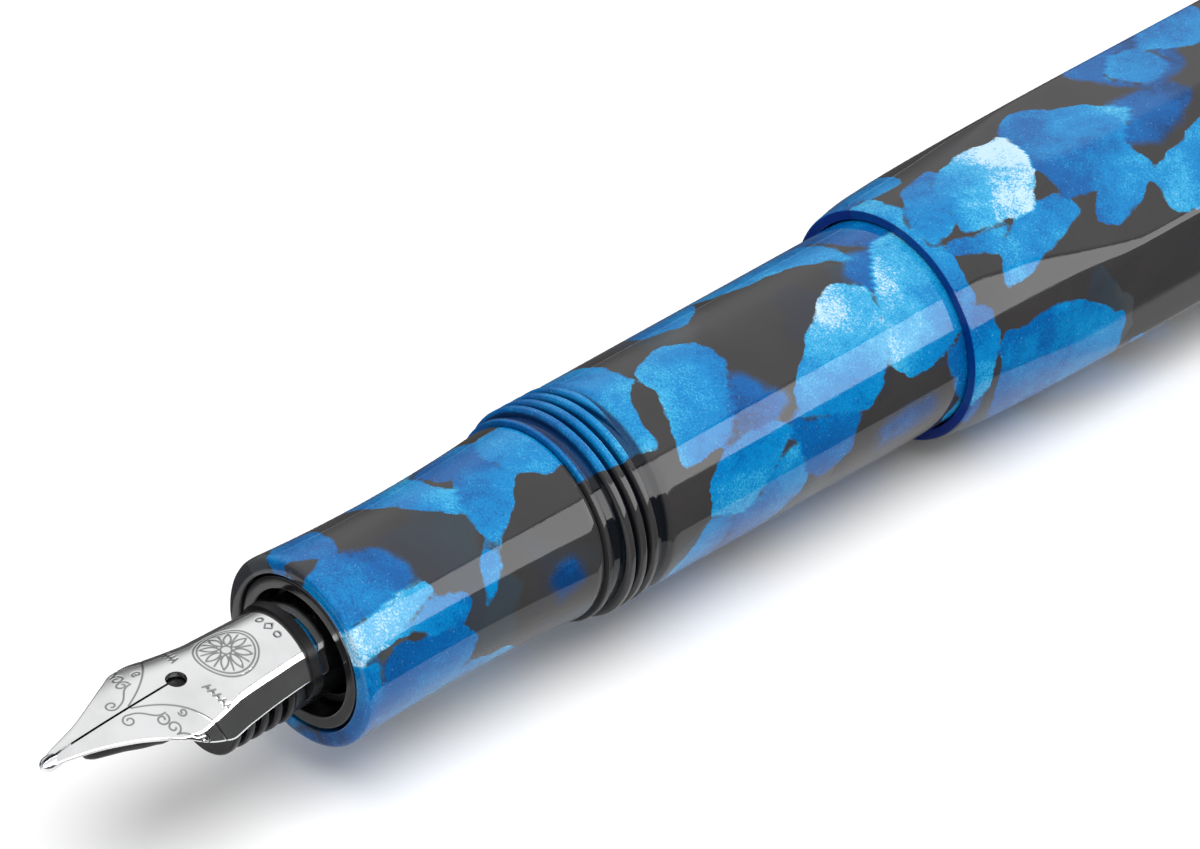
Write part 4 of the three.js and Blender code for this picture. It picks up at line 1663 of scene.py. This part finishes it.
@dataclass
class Section:
    """The waisted grip, its threaded core and the seal against the barrel."""

    length: float = 14.85
    waist_radius: float = 4.63
    waist_station: float = -8.5
    flare: float = 0.0053
    core_thread_turns: float = 7.0
    pitch: float = 0.75
    chips: tuple[Chip, ...] = (
        Chip(0.30, 0.3, ((-15.4, 60), (-14.0, 66), (-13.9, 100), (-14.4, 128), (-14.6, 160), (-15.4, 160))),
        Chip(0.38, 0.06, ((-14.8, -22), (-13.2, -44), (-11.8, -32), (-11.9, -8), (-12.9, 3), (-14.6, -6))),
        Chip(0.34, 0.08, ((-5.6, -25), (-4.4, -48), (-2.3, -38), (-2.0, -15), (-3.3, -5), (-5.2, -7)), 0.1),
        Chip(0.52, 0.05, (
            (-10.0, -50), (-7.0, -56), (-5.8, -30), (-6.0, -9), (-5.3, 10), (-5.5, 25), (-6.6, 14),
            (-8.0, -5), (-9.0, -26))),
        Chip(0.30, 0.5, ((-12.4, 8), (-11.2, 12), (-10.2, 30), (-10.3, 44), (-11.4, 42), (-12.2, 24))),
        Chip(0.46, 0.08, (
            (-15.4, 9), (-13.6, 4), (-12.5, 9), (-11.8, 22), (-11.5, 38), (-12.2, 50), (-15.4, 54))),
        Chip(0.42, 0.07, (
            (-13.7, 74), (-12.4, 71), (-9.0, 77), (-7.9, 92), (-8.4, 112), (-9.5, 140), (-13.4, 136),
            (-13.8, 100))),
        Chip(0.62, 0.05, ((-8.7, 110), (-5.6, 118), (-4.6, 130), (-8.5, 146))),
        Chip(0.56, 0.06, ((-12.3, 62), (-10.5, 56), (-8.8, 57), (-8.0, 66), (-8.5, 76), (-10.2, 75)), -0.1),
        Chip(0.84, 0.07, (
            (-15.4, 50), (-13.0, 47), (-10.2, 43), (-9.8, 51), (-12.0, 61), (-15.4, 70)), 0.1),
        Chip(0.60, 0.1, ((-5.9, 38), (-5.1, 40), (-5.9, 60), (-7.1, 76), (-6.9, 60))),
        Chip(0.50, 0.06, (
            (-5.1, 3), (-3.9, -9), (-2.6, 1), (-2.2, 12), (-3.5, 28), (-5.0, 43), (-5.9, 45), (-5.8, 20))),
        Chip(0.62, 0.07, ((-2.7, -8), (-1.7, -24), (0.4, -20), (0.4, 24), (-1.0, 27), (-2.3, 14)), -0.15),
        Chip(0.05, 0.8, ((-3.2, 78), (-1.8, 74), (-1.4, 90), (-2.8, 98))),
    )

    def grip_radius(self, station: float) -> float:
        """Radius of the grip at a station."""
        return self.waist_radius + self.flare * (station - self.waist_station) ** 2

    def _grip(self) -> Form:
        """Returns the resin grip with its rolled mouth."""
        front = -self.length
        corners = [Corner(front, 3.98, 0.1), Corner(front, self.grip_radius(front) - 0.02, 0.5)]
        for station in np.linspace(front + 0.6, -0.3, 48):
            corners.append(Corner(float(station), self.grip_radius(float(station))))
        rear = self.grip_radius(-0.05)
        corners += [Corner(-0.05, rear - 0.12, 0.06), Corner(-0.05, 3.98, 0.05)]
        return turned(corners, 192, closed=True)

    def _core(self, shapes: GrownShapes) -> Form:
        """Builds the black core.

        Args:
            shapes: The grown shapes.

        Returns:
            Its nose ring, its web with the nipple, and the barrel thread.
        """
        body = turned([
            Corner(-14.8, 3.22, 0.1), Corner(-14.8, 3.86, 0.14), Corner(-0.02, 3.86),
            Corner(-0.02, 4.2, 0.04), Corner(7.6, 4.2, 0.25), Corner(7.6, 3.74, 0.12),
            Corner(-3.0, 3.74, 0.1), Corner(-3.0, 1.25, 0.12), Corner(1.4, 1.08, 0.05),
            Corner(1.4, 0.8, 0.04), Corner(-4.0, 0.8, 0.04), Corner(-4.0, 3.22, 0.15)], closed=True)
        thread = shapes.grow(shapes.thread, {
            "Start": 1.9, "Radius": 4.2, "Height": 0.34, "Sink": 0.06, "Pitch": self.pitch,
            "Turns": self.core_thread_turns, "Foot": 0.55, "Crest": 0.16, "Rounding": 0.05, "Fade": 0.35})
        return body.joined(thread)

    def _seal(self) -> Form:
        """Returns the ring that seals the section against the barrel's mouth."""
        centre, tube = (0.72, 4.44), 0.22
        loop = [
            (centre[0] - tube * math.cos(t), centre[1] + tube * math.sin(t))
            for t in np.linspace(0, 2 * math.pi, 33)[:-1]
        ]
        return ring_stack(loop, 128, closed=True)

    def build(self, bench: Bench) -> None:
        """Builds and dresses the section.

        Args:
            bench: Where pieces are published.
        """
        effects, shapes = bench.effects, bench.shapes
        resin = PearlResin("section_resin", shift=(7.0, 2.0, 11.0), turn=(20.0, 0.0, 35.0)).build(effects)
        gloss = Moulding("core_plastic", (0.006, 0.006, 0.007), 0.14).build(effects)
        rubber = Moulding("seal_rubber", (0.012, 0.012, 0.014), 0.55).build(effects)
        chips = ChipField(self.chips, (-15.0, 0.0), ((-15.5, 0.5), (-52, 140)), 4.7, seed=11, shaded_walls_to=-15.0)
        bench.publish(
            self._grip(), "section_grip", resin, Body.SECTION, Slot.RESIN, "section_shell", chips=chips)
        bench.publish(self._core(shapes), "threaded_core", gloss, Body.SECTION, Slot.BLACK, "section_core")
        bench.publish(self._seal(), "seal_ring", rubber, Body.SEAL, Slot.RUBBER, "section_oring")


# ---- the ink cartridge


@dataclass
class Cartridge:
    """The ink cartridge and the ball that once closed it."""

    mouth: float = -2.4
    end: float = 35.6
    radius: float = 3.65
    wall: float = 0.55

    def build(self, bench: Bench) -> None:
        """Builds and dresses the cartridge.

        Args:
            bench: Where pieces are published.
        """
        plastic = Moulding("cartridge_plastic", (0.030, 0.052, 0.240), 0.24).build(bench.effects)
        steel = Metal("ball_steel", polish=0.08).build(bench.effects)
        inner = self.radius - self.wall
        shell = turned([
            Corner(self.mouth, 1.35, 0.06), Corner(self.mouth, 2.1, 0.12), Corner(0.55, 2.1, 0.1),
            Corner(0.8, 2.35, 0.08), Corner(2.0, self.radius, 0.5), Corner(self.end - 1.6, self.radius, 0.1),
            Corner(self.end, self.radius - 0.25, 0.7), Corner(self.end, 0.4), Corner(self.end - 0.15, 0.02),
            Corner(self.end - self.wall, 0.02), Corner(self.end - self.wall, inner, 0.6),
            Corner(2.3, inner, 0.4), Corner(1.4, 1.35, 0.1)], closed=True)
        bench.publish(shell, "ink_cartridge", plastic, Body.CARTRIDGE, Slot.INK, "cartridge_shell")
        centre, radius = self.end - 6, 1.15
        outline = [
            (centre - radius * math.cos(t), max(1e-4, radius * math.sin(t)))
            for t in np.linspace(0, math.pi, 33)]
        ball = ring_stack(outline, 64, closed=False)
        ball.points[:, 2] += radius + 0.1 - inner
        bench.publish(ball.welded(), "loose_ball", steel, Body.CARTRIDGE, Slot.STEEL, "cartridge_ball")


# ---- the barrel


@dataclass
class Barrel:
    """The barrel, with the thread that takes the cap and the bore that takes the section."""

    length: float = 70.0
    root_radius: float = 5.08
    crest_radius: float = 5.48
    pitch: float = 0.75
    outline: tuple[Point, ...] = (
        (4.05, 5.42), (14.0, 5.50), (26.0, 5.57), (34.0, 5.37), (44.0, 5.02), (56.0, 4.58), (67.0, 4.18))
    chips: tuple[Chip, ...] = (
        Chip(0.30, 0.3, ((20.2, -44), (24.8, -52), (24.8, 8), (22.2, 4), (21.4, -12))),
        Chip(0.34, 0.5, ((20.9, 2), (23.0, 4), (21.6, 20), (20.3, 25), (19.6, 12))),
        Chip(0.36, 0.2, ((22.7, 76), (25.0, 60), (25.0, 120), (23.2, 98))),
        Chip(0.50, 0.07, (
            (-0.6, -80), (4.2, -70), (5.7, -26), (6.0, 2), (4.9, 14), (4.3, 30), (4.7, 43), (3.2, 39),
            (-0.6, 38))),
        Chip(0.44, 0.07, ((9.0, -22), (9.6, -42), (12.4, -60), (13.6, -42), (12.6, -22), (11.0, -14))),
        Chip(0.56, 0.05, (
            (13.2, -50), (16.5, -60), (20.3, -34), (21.0, -8), (20.6, 5), (19.0, -11), (16.8, -18),
            (14.2, -24))),
        Chip(0.24, 0.6, ((9.2, 34), (10.6, 30), (12.4, 52), (11.2, 63), (8.6, 62))),
        Chip(0.60, 0.07, (
            (6.6, 0), (8.6, -6), (10.3, 4), (10.8, 20), (9.8, 33), (9.3, 46), (8.6, 57), (5.3, 59),
            (5.6, 40), (6.5, 18)), -0.25),
        Chip(0.18, 0.2, ((11.2, 66), (13.6, 59), (15.0, 66), (12.8, 78))),
        Chip(0.40, 0.2, (
            (8.0, 100), (10.2, 86), (12.0, 76), (13.6, 90), (12.2, 115), (9.2, 140), (7.6, 128))),
        Chip(0.58, 0.06, (
            (7.0, 67), (8.8, 59), (11.6, 60), (12.2, 68), (10.4, 84), (9.0, 99), (6.6, 93),
            (6.5, 78)), 0.1),
        Chip(0.50, 0.06, ((6.4, 92), (7.9, 98), (7.6, 118), (6.0, 146), (3.6, 146), (4.9, 115))),
        Chip(0.32, 0.12, ((12.6, 73), (15.2, 69), (16.5, 80), (15.9, 98), (13.8, 107), (12.8, 93))),
        Chip(0.66, 0.08, (
            (18.2, 12), (20.0, 22), (19.7, 40), (18.9, 62), (17.2, 79), (15.4, 73), (12.8, 65), (13.4, 50),
            (15.0, 34))),
        Chip(0.71, 0.05, (
            (22.6, 1), (24.8, 4), (24.8, 60), (22.8, 71), (20.4, 77), (19.2, 63), (19.9, 38),
            (20.8, 22)), -0.1),
        Chip(0.06, 0.9, ((18.0, 95), (21.5, 92), (22.0, 104), (18.5, 112))),
    )

    def _shell(self, shapes: GrownShapes) -> Form:
        """Builds the barrel.

        Args:
            shapes: The grown shapes.

        Returns:
            Its wall, from the floor of its bore over its mouth to its tail, with both threads.
        """
        corners = [
            Corner(66.0, 1e-3), Corner(66.0, 2.6, 0.4), Corner(65.2, 3.0, 0.4), Corner(50.0, 3.7, 0.5),
            Corner(46.0, 4.05, 0.5), Corner(8.0, 4.05, 0.1), Corner(8.0, 4.74, 0.2), Corner(1.4, 4.74, 0.05),
            Corner(1.4, 4.76, 0.05), Corner(0.0, 4.76, 0.1), Corner(0.0, 5.2, 0.1), Corner(0.3, 5.22, 0.08),
            Corner(0.36, self.root_radius, 0.04), Corner(3.5, self.root_radius, 0.1), Corner(3.98, 5.4, 0.12)]
        for station in np.linspace(4.2, 67.0, 240):
            corners.append(Corner(float(station), float(through(self.outline, station))))
        corners += [Corner(69.0, 4.02, 0.5), Corner(70.0, 3.2, 1.0), Corner(70.0, 1e-3)]
        shell = turned(corners, 192)
        outer = shapes.grow(shapes.thread, {
            "Start": 0.72, "Radius": self.root_radius, "Height": self.crest_radius - self.root_radius,
            "Sink": 0.05, "Pitch": self.pitch, "Turns": 3.6, "Foot": 0.7, "Crest": 0.26,
            "Rounding": 0.07, "Fade": 0.12})
        inner = shapes.grow(shapes.thread, {
            "Start": 2.0, "Radius": 4.74, "Height": -0.1, "Sink": -0.04, "Pitch": self.pitch,
            "Turns": 7.0, "Foot": 0.3, "Crest": 0.12, "Rounding": 0.03, "Fade": 0.4})
        return shell.joined(outer).joined(inner)

    def build(self, bench: Bench) -> None:
        """Builds and dresses the barrel.

        Args:
            bench: Where pieces are published.
        """
        resin = PearlResin("barrel_resin", shift=(3.0, -6.0, 4.0), turn=(-15.0, 10.0, 25.0))
        chips = ChipField(
            self.chips, (0.0, 70.0), ((-1.0, 25.0), (-60, 140)), 5.4, seed=23, shaded_walls_to=66.5,
            thread=(0.2, 3.7, 5.44, 0.3))
        bench.publish(
            self._shell(bench.shapes), "threaded_barrel", resin.build(bench.effects), Body.BARREL, Slot.RESIN,
            "barrel_shell", chips=chips)


# ---- the cap


@dataclass
class Cap:
    """The eight-sided cap with its round lip, its liner and the finial in its closed end."""

    mouth: float = 23.9
    end: float = 85.9
    flat: float = 6.75
    sides: int = 256
    corner_sharpness: float = 110.0
    lip_sharpness: float = 170.0
    bore: float = 5.65
    chips: tuple[Chip, ...] = (
        Chip(0.42, 0.1, (
            (23.4, -80), (26.0, -76), (27.4, -42), (26.8, -16), (25.2, -18), (23.4, -26)), 0.1),
        Chip(0.48, 0.06, (
            (23.4, -28), (24.8, -20), (24.9, 5), (24.6, 40), (24.8, 70), (24.4, 120), (23.4, 120))),
        Chip(0.52, 0.07, ((24.4, 8), (26.0, -10), (28.2, -12), (27.4, 4), (26.2, 20), (24.4, 25))),
        Chip(0.50, 0.07, ((24.6, 28), (28.8, 32), (27.6, 41), (26.0, 38))),
        Chip(0.58, 0.1, (
            (27.6, 40), (29.4, 32), (32.6, 33), (32.8, 43), (31.0, 49), (28.2, 55), (26.6, 57)), 0.1),
        Chip(0.25, 0.6, ((37.5, 6), (42.5, 8), (43.2, 22), (40.0, 34), (37.6, 28))),
        Chip(0.50, 0.08, (
            (33.2, -12), (35.0, -15), (38.4, 3), (39.4, 15), (37.4, 26), (38.4, 40), (36.6, 51), (34.4, 56),
            (33.4, 50), (34.9, 38), (32.4, 36), (32.2, 14)), -0.05),
        Chip(0.56, 0.08, (
            (38.0, 44), (41.0, 38), (44.0, 30), (48.0, 28), (48.8, 48), (43.6, 58), (40.8, 67),
            (38.2, 62)), 0.2),
        Chip(0.82, 0.05, (
            (27.4, -3), (30.2, -11), (32.9, -7), (32.6, 8), (31.5, 22), (30.2, 33), (26.2, 28),
            (26.6, 14)), 0.14),
        Chip(0.54, 0.07, ((23.4, 52), (25.4, 60), (25.3, 74), (24.6, 100), (23.4, 112))),
        Chip(0.45, 0.07, (
            (25.5, 77), (29.5, 73), (32.4, 84), (34.2, 98), (33.6, 118), (30.0, 150), (26.5, 150),
            (25.5, 112))),
        Chip(0.44, 0.1, ((34.6, 112), (38.4, 118), (38.0, 146), (34.8, 146))),
        Chip(0.20, 0.5, ((39.4, -20), (42.0, -32), (45.4, -22), (45.2, 6), (41.6, 12))),
        Chip(0.52, 0.06, ((40.8, -8), (42.4, -18), (44.4, -14), (44.2, 3), (42.0, 8))),
        Chip(0.50, 0.08, ((44.0, -14), (46.5, -32), (49.2, -26), (48.8, -5), (46.5, 1))),
        Chip(0.50, 0.08, ((48.8, 2), (50.5, -15), (54.0, -13), (53.2, 6))),
        Chip(0.50, 0.1, ((51.5, -40), (56.0, -50), (56.5, -20), (53.5, -22))),
    )

    def _octagon(self, apothem: float) -> np.ndarray:
        """Draws an octagon whose corners are polished soft.

        Args:
            apothem: Distance from the axis to a flat.

        Returns:
            Its radius at each side point.
        """
        turn = 2 * math.pi * np.arange(self.sides) / self.sides
        total = np.zeros(self.sides)
        for k in range(8):
            total += np.maximum(np.cos(turn - k * math.pi / 4), 0) ** self.corner_sharpness
        return apothem / total ** (1 / self.corner_sharpness)

    def _outside(self) -> list[tuple[float, Any]]:
        """Returns rings of the outside wall, from the mouth to the end."""
        flats = [(23.9, 6.48), (26.3, 6.52), (28.0, 6.6), (30.0, 6.66), (34.0, 6.72), (40.0, self.flat)]
        turned_lip = [
            (24.25, 6.24), (25.0, 6.38), (26.3, 6.53), (29.0, 6.73), (33.0, 7.06), (36.2, 7.36), (37.4, 7.55)]
        mouth = self.mouth
        rings: list[tuple[float, Any]] = [(mouth, 6.12), (mouth + 0.03, 6.16), (mouth + 0.12, 6.21)]
        power = self.lip_sharpness
        stations = np.concatenate([np.linspace(24.25, 37.4, 110), np.linspace(37.7, 85.2, 150)])
        for station in stations:
            wall = self._octagon(float(through(flats, station)))
            if station < 37.5:
                lip = float(through(turned_lip, station))
                wall = (wall**-power + lip**-power) ** (-1 / power)
            rings.append((float(station), wall))
        for turn in np.linspace(0.15, 1, 8) * math.pi / 2:
            wall = self._octagon(self.flat - 0.5 * (1 - math.cos(turn)))
            rings.append((self.end - 0.5 + 0.5 * math.sin(turn), wall))
        return rings

    def _shell(self, shapes: GrownShapes) -> Form:
        """Builds the cap.

        Args:
            shapes: The grown shapes.

        Returns:
            Its outside, finial recess, screw hole and bore, with the thread.
        """
        inside = eased([
            Corner(self.end, 5.6), Corner(self.end, 4.55, 0.12), Corner(84.7, 4.55, 0.1),
            Corner(84.7, 1.05, 0.05), Corner(83.3, 1.05, 0.05), Corner(83.3, 5.05, 0.4),
            Corner(50.9, 5.05, 0.1), Corner(50.5, 5.5, 0.1), Corner(46.9, 5.5, 0.1),
            Corner(46.5, self.bore, 0.1), Corner(26.5, self.bore), Corner(self.mouth, self.bore, 0.05),
            Corner(self.mouth, 6.08)], closed=False)
        shell = ring_stack([*self._outside(), *inside], self.sides, closed=True)
        thread = shapes.grow(shapes.thread, {
            "Start": 47.2, "Radius": 5.5, "Height": -0.38, "Sink": -0.05, "Pitch": 0.75, "Turns": 4.2,
            "Foot": 0.55, "Crest": 0.2, "Rounding": 0.08, "Fade": 0.2})
        return shell.joined(thread)

    def _liner(self) -> Form:
        """Returns the inner cap that seals round the section."""
        return turned([
            Corner(65.9, 4.4, 0.1), Corner(65.9, 4.95, 0.15), Corner(83.2, 4.95, 0.2),
            Corner(83.2, 1.1, 0.05), Corner(82.3, 1.1, 0.05), Corner(82.3, 4.4, 0.4)], closed=True)

    def _bezel(self) -> Form:
        """Returns the bright ring round the finial."""
        return turned([
            Corner(84.72, 3.85, 0.03), Corner(84.72, 4.5, 0.05), Corner(85.9, 4.5, 0.2),
            Corner(85.9, 4.02, 0.12), Corner(85.72, 3.85, 0.08)], closed=True)

    def _disc(self, shapes: GrownShapes) -> Form:
        """Builds the enamelled disc.

        Args:
            shapes: The grown shapes.

        Returns:
            The disc with a raised rim and a star of raised rays.
        """
        radius = 3.79
        disc = turned([
            Corner(85.12, 1e-3), Corner(85.12, 1.0, 0.02), Corner(84.72, 1.0, 0.05),
            Corner(84.72, radius, 0.06), Corner(85.42, radius, 0.08), Corner(85.42, 3.5, 0.05),
            Corner(85.36, 3.42, 0.05), Corner(85.5, 2.4, 0.3), Corner(85.56, 1e-3)])
        rays = shapes.grow(shapes.rays, {
            "Station": 85.5, "Ring Radius": 1.75, "Count": 16, "Length": 2.1, "Width": 0.34, "Height": 0.22})
        boss = shapes.grow(shapes.rays, {
            "Station": 85.54, "Ring Radius": 0.001, "Count": 3, "Length": 0.9, "Width": 0.9, "Height": 0.22})
        return disc.joined(rays).joined(boss)

    def _screw(self, shapes: GrownShapes) -> Form:
        """Builds the screw that ties the finial, the cap and the liner together.

        Args:
            shapes: The grown shapes.

        Returns:
            Its head, shank and thread.
        """
        head = 82.28
        body = turned([
            Corner(82.0, 1e-3), Corner(82.0, 1.1, 0.05), Corner(81.58, 1.3, 0.05),
            Corner(81.58, 1.85, 0.05), Corner(81.83, 2.1, 0.1), Corner(head, 2.1, 0.05),
            Corner(head, 0.82, 0.02), Corner(85.1, 0.82, 0.1), Corner(85.1, 1e-3)], 64)
        thread = shapes.grow(shapes.thread, {
            "Start": 82.6, "Radius": 0.82, "Height": 0.12, "Sink": 0.03, "Pitch": 0.35, "Turns": 6.0,
            "Foot": 0.28, "Crest": 0.06, "Rounding": 0.02, "Fade": 0.4})
        return body.joined(thread)

    def build(self, bench: Bench) -> None:
        """Builds and dresses the cap.

        Args:
            bench: Where pieces are published.
        """
        effects, shapes = bench.effects, bench.shapes
        resin = PearlResin(
            "cap_resin", shift=(-9.0, 5.0, -3.0), turn=(10.0, -20.0, 15.0), chip_size=5.8).build(effects)
        black = Moulding("liner_plastic", (0.007, 0.007, 0.008), 0.25).build(effects)
        plate = Metal("bright_plate", polish=0.06, hairlines=0.05).build(effects)
        enamel = Moulding("finial_enamel", (0.006, 0.050, 0.230), 0.07).build(effects)
        chips = ChipField(
            self.chips, (self.mouth, self.end), ((23.0, 47.0), (-60, 140)), 6.8, seed=37, shaded_walls_to=84.0,
            shaded_faces_to=self.mouth + 0.1)
        bench.publish(
            self._shell(shapes), "faceted_cap", resin, Body.CAP, Slot.RESIN, "cap_shell", crease=28.0,
            chips=chips)
        bench.publish(self._liner(), "inner_cap_liner", black, Body.INNER_CAP, Slot.BLACK, "cap_liner")
        bench.publish(self._bezel(), "finial_ring", plate, Body.CAP, Slot.CHROME, "finial_bezel")
        bench.publish(self._disc(shapes), "finial_star", enamel, Body.CAP, Slot.ENAMEL, "finial_disc")
        bench.publish(self._screw(shapes), "finial_bolt", plate, Body.CAP, Slot.CHROME, "finial_screw")


# ---- the studio


@dataclass
class Studio:
    """White floor, soft light and the camera.

    Attributes:
        eye: The camera's place from the seam, in millimetres.
        aim: What it looks at, from the seam, in millimetres.
        sky: Strength of the world's light on the pen.
        backdrop: Strength of the world behind the pen.
        sky_top: Strength of the reflected sky overhead.
        sky_rim: Strength of the reflected sky at the horizon.
        sky_rise: Height, of 1, at which the reflected sky is brightest.
        panel: Strength of the window that the pen reflects.
        far: Half length of the floor and of every strip, in metres.
        wall: Distance of the upright strips behind the camera's side, in metres.
    """

    eye: tuple[float, float, float] = (-157.66, -165.59, 165.59)
    aim: tuple[float, float, float] = (14.2424, 10.1054, -6.4026)
    roll: float = 0.46
    lens: float = 180.0
    sky: float = 0.7
    backdrop: float = 1.15
    sky_top: float = 1.08
    sky_rim: float = 0.2
    sky_rise: float = 0.56
    panel: float = 6.2
    key: float = 3.9
    key_place: tuple[float, float, float] = (-0.06, -0.19, 0.6)
    key_size: float = 0.6
    far: float = 2.0
    wall: float = -0.4

    @staticmethod
    def _sheet(name: str, corners: Sequence[Any], material: bpy.types.Material) -> bpy.types.Object:
        """Makes a flat stage sheet.

        Args:
            name: Its name.
            corners: Its corners, in metres.
            material: Its finish.

        Returns:
            The sheet.
        """
        mesh = bpy.data.meshes.new(name)
        mesh.from_pydata(list(corners), [], [tuple(range(len(corners)))])
        mesh.materials.append(material)
        sheet = bpy.data.objects.new(name, mesh)
        bpy.context.scene.collection.objects.link(sheet)
        return sheet

    def _strip(self, low: Point, high: Point) -> list[tuple[float, float, float]]:
        """Returns the corners of a strip along the pen, between two places given as Y and Z."""
        ends = (-self.far, self.far)
        return [(x, *edge) for edge, order in ((low, 1), (high, -1)) for x in ends[::order]]

    @staticmethod
    def _plain(name: str, colour: Colour, glow: float = 0.0) -> bpy.types.Material:
        """Makes a matt stage material.

        Args:
            name: Its name.
            colour: Its colour.
            glow: Strength of its white glow.

        Returns:
            The material.
        """
        material = bpy.data.materials.new(name)
        material.use_nodes = True
        desk = NodeDesk(material.node_tree)
        shader = material.node_tree.nodes["Principled BSDF"]
        shader.inputs["Roughness"].default_value = 0.9
        shader.inputs["Specular IOR Level"].default_value = 0.0
        grain = desk.add("ShaderNodeTexNoise", {"Scale": 400.0, "Detail": 2.0})
        dimmer = tuple(channel * 0.985 for channel in colour)
        desk.send(desk.mix(grain.outputs["Fac"], dimmer, colour), shader.inputs["Base Color"])
        if glow:
            shader.inputs["Emission Color"].default_value = (1.0, 1.0, 1.0, 1.0)
            shader.inputs["Emission Strength"].default_value = glow
        return material

    def _world(self) -> None:
        """Lights the world: a plain backdrop, and a sky that only reflections see."""
        world = bpy.data.worlds.new("studio")
        bpy.context.scene.world = world
        world.use_nodes = True
        background = world.node_tree.nodes["Background"]
        background.inputs["Color"].default_value = (1.0, 1.0, 1.0, 1.0)
        desk = NodeDesk(world.node_tree)
        way = desk.add("ShaderNodeSeparateXYZ", {0: desk.add("ShaderNodeTexCoord").outputs["Generated"]})
        mirrored = desk.ramp(way.outputs[2], 0.0, self.sky_rise, self.sky_rim, self.sky_top)
        paths = desk.add("ShaderNodeLightPath").outputs
        seen = desk.maths("MULTIPLY_ADD", paths["Is Camera Ray"], self.backdrop - self.sky, self.sky)
        difference = desk.maths("SUBTRACT", mirrored, seen)
        strength = desk.maths("MULTIPLY_ADD", paths["Is Glossy Ray"], difference, seen)
        desk.send(strength, background.inputs["Strength"])

    def _cards(self) -> None:
        """Hangs what only reflections see: a window with a bar over it, dark cards and an edge light."""
        dark = (0.004, 0.004, 0.004)
        glow = self._plain("panel", (0.0, 0.0, 0.0), self.panel)
        black = self._plain("card", dark, 0.03)
        grey = self._plain("grey_card", dark, 0.09)
        edge = self._plain("edge_light", (0.0, 0.0, 0.0), 9.0)
        wall, floor = self.wall, 0.0004
        strips = {
            "panel": ((wall, 0.055), (wall, 0.345), glow),
            "gap_strip": ((wall, 0.345), (wall, 0.372), black),
            "card_back": ((wall, 0.0), (wall, 0.055), grey),
            "card_floor": ((wall, floor), (-0.012, floor), grey),
            "card_far": ((0.012, floor), (-wall, floor), grey),
        }
        behind = [(0.5, 0.1, 0.2), (0.5, -0.2, 0.2), (0.46, -0.2, 0.34), (0.46, 0.1, 0.34)]
        cards = [self._sheet("rear_edge_light", behind, edge)]
        for name, (low, high, finish) in strips.items():
            cards.append(self._sheet(name, self._strip(low, high), finish))
        for card in cards:
            card.visible_camera = False
            card.visible_diffuse = False
            card.visible_shadow = False
            card.visible_transmission = False

    def light(self) -> None:
        """Sets up the world, the floor, the cards and the key light."""
        self._world()
        self._sheet("floor", self._strip((-self.far, 0), (self.far, 0)), self._plain("floor", (0.86,) * 3))
        self._cards()
        lamp = bpy.data.lights.new("key", "AREA")
        lamp.energy = self.key
        lamp.shape = "DISK"
        lamp.size = self.key_size
        key = bpy.data.objects.new("key", lamp)
        key.location = self.key_place
        key.rotation_euler = (-key.location).to_track_quat("-Z", "Y").to_euler()
        key.visible_glossy = False
        bpy.context.scene.collection.objects.link(key)
        bpy.context.scene.view_settings.view_transform = "Standard"

    def shoot(self, bench: Bench) -> None:
        """Places the camera.

        Args:
            bench: Gives the seam's place in the frame.
        """
        lens = bpy.data.cameras.new("camera")
        lens.lens = self.lens
        lens.sensor_width = 36.0
        lens.clip_start = 0.01
        lens.clip_end = 20.0
        camera = bpy.data.objects.new("camera", lens)
        origin = Vector((bench.seam, 0.0, bench.height))
        eye = origin + Vector(self.eye) * MM
        back = (eye - (origin + Vector(self.aim) * MM)).normalized()
        turn = back.to_track_quat("Z", "Y").to_matrix().to_4x4()
        tilt = Matrix.Rotation(math.radians(self.roll), 4, "Z")
        camera.matrix_world = Matrix.Translation(eye) @ turn @ tilt
        bpy.context.scene.collection.objects.link(camera)
        bpy.context.scene.camera = camera


# ---- assembly


def main() -> None:
    """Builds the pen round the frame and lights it."""
    logging.basicConfig(level=logging.INFO, format="%(name)s %(message)s")
    low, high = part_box("barrel_shell")
    effects = SurfaceGroups()
    shapes = GrownShapes(bpy.data.materials.new("grown_shape"))
    bench = Bench(low.x, (low.z + high.z) / 2, shapes, effects)
    for assembly in (NibUnit(), Section(), Cartridge(), Barrel(), Cap()):
        assembly.build(bench)
    studio = Studio()
    studio.light()
    studio.shoot(bench)
    log.info("%d pieces", bench.made)


if __name__ == "__main__":
    main()
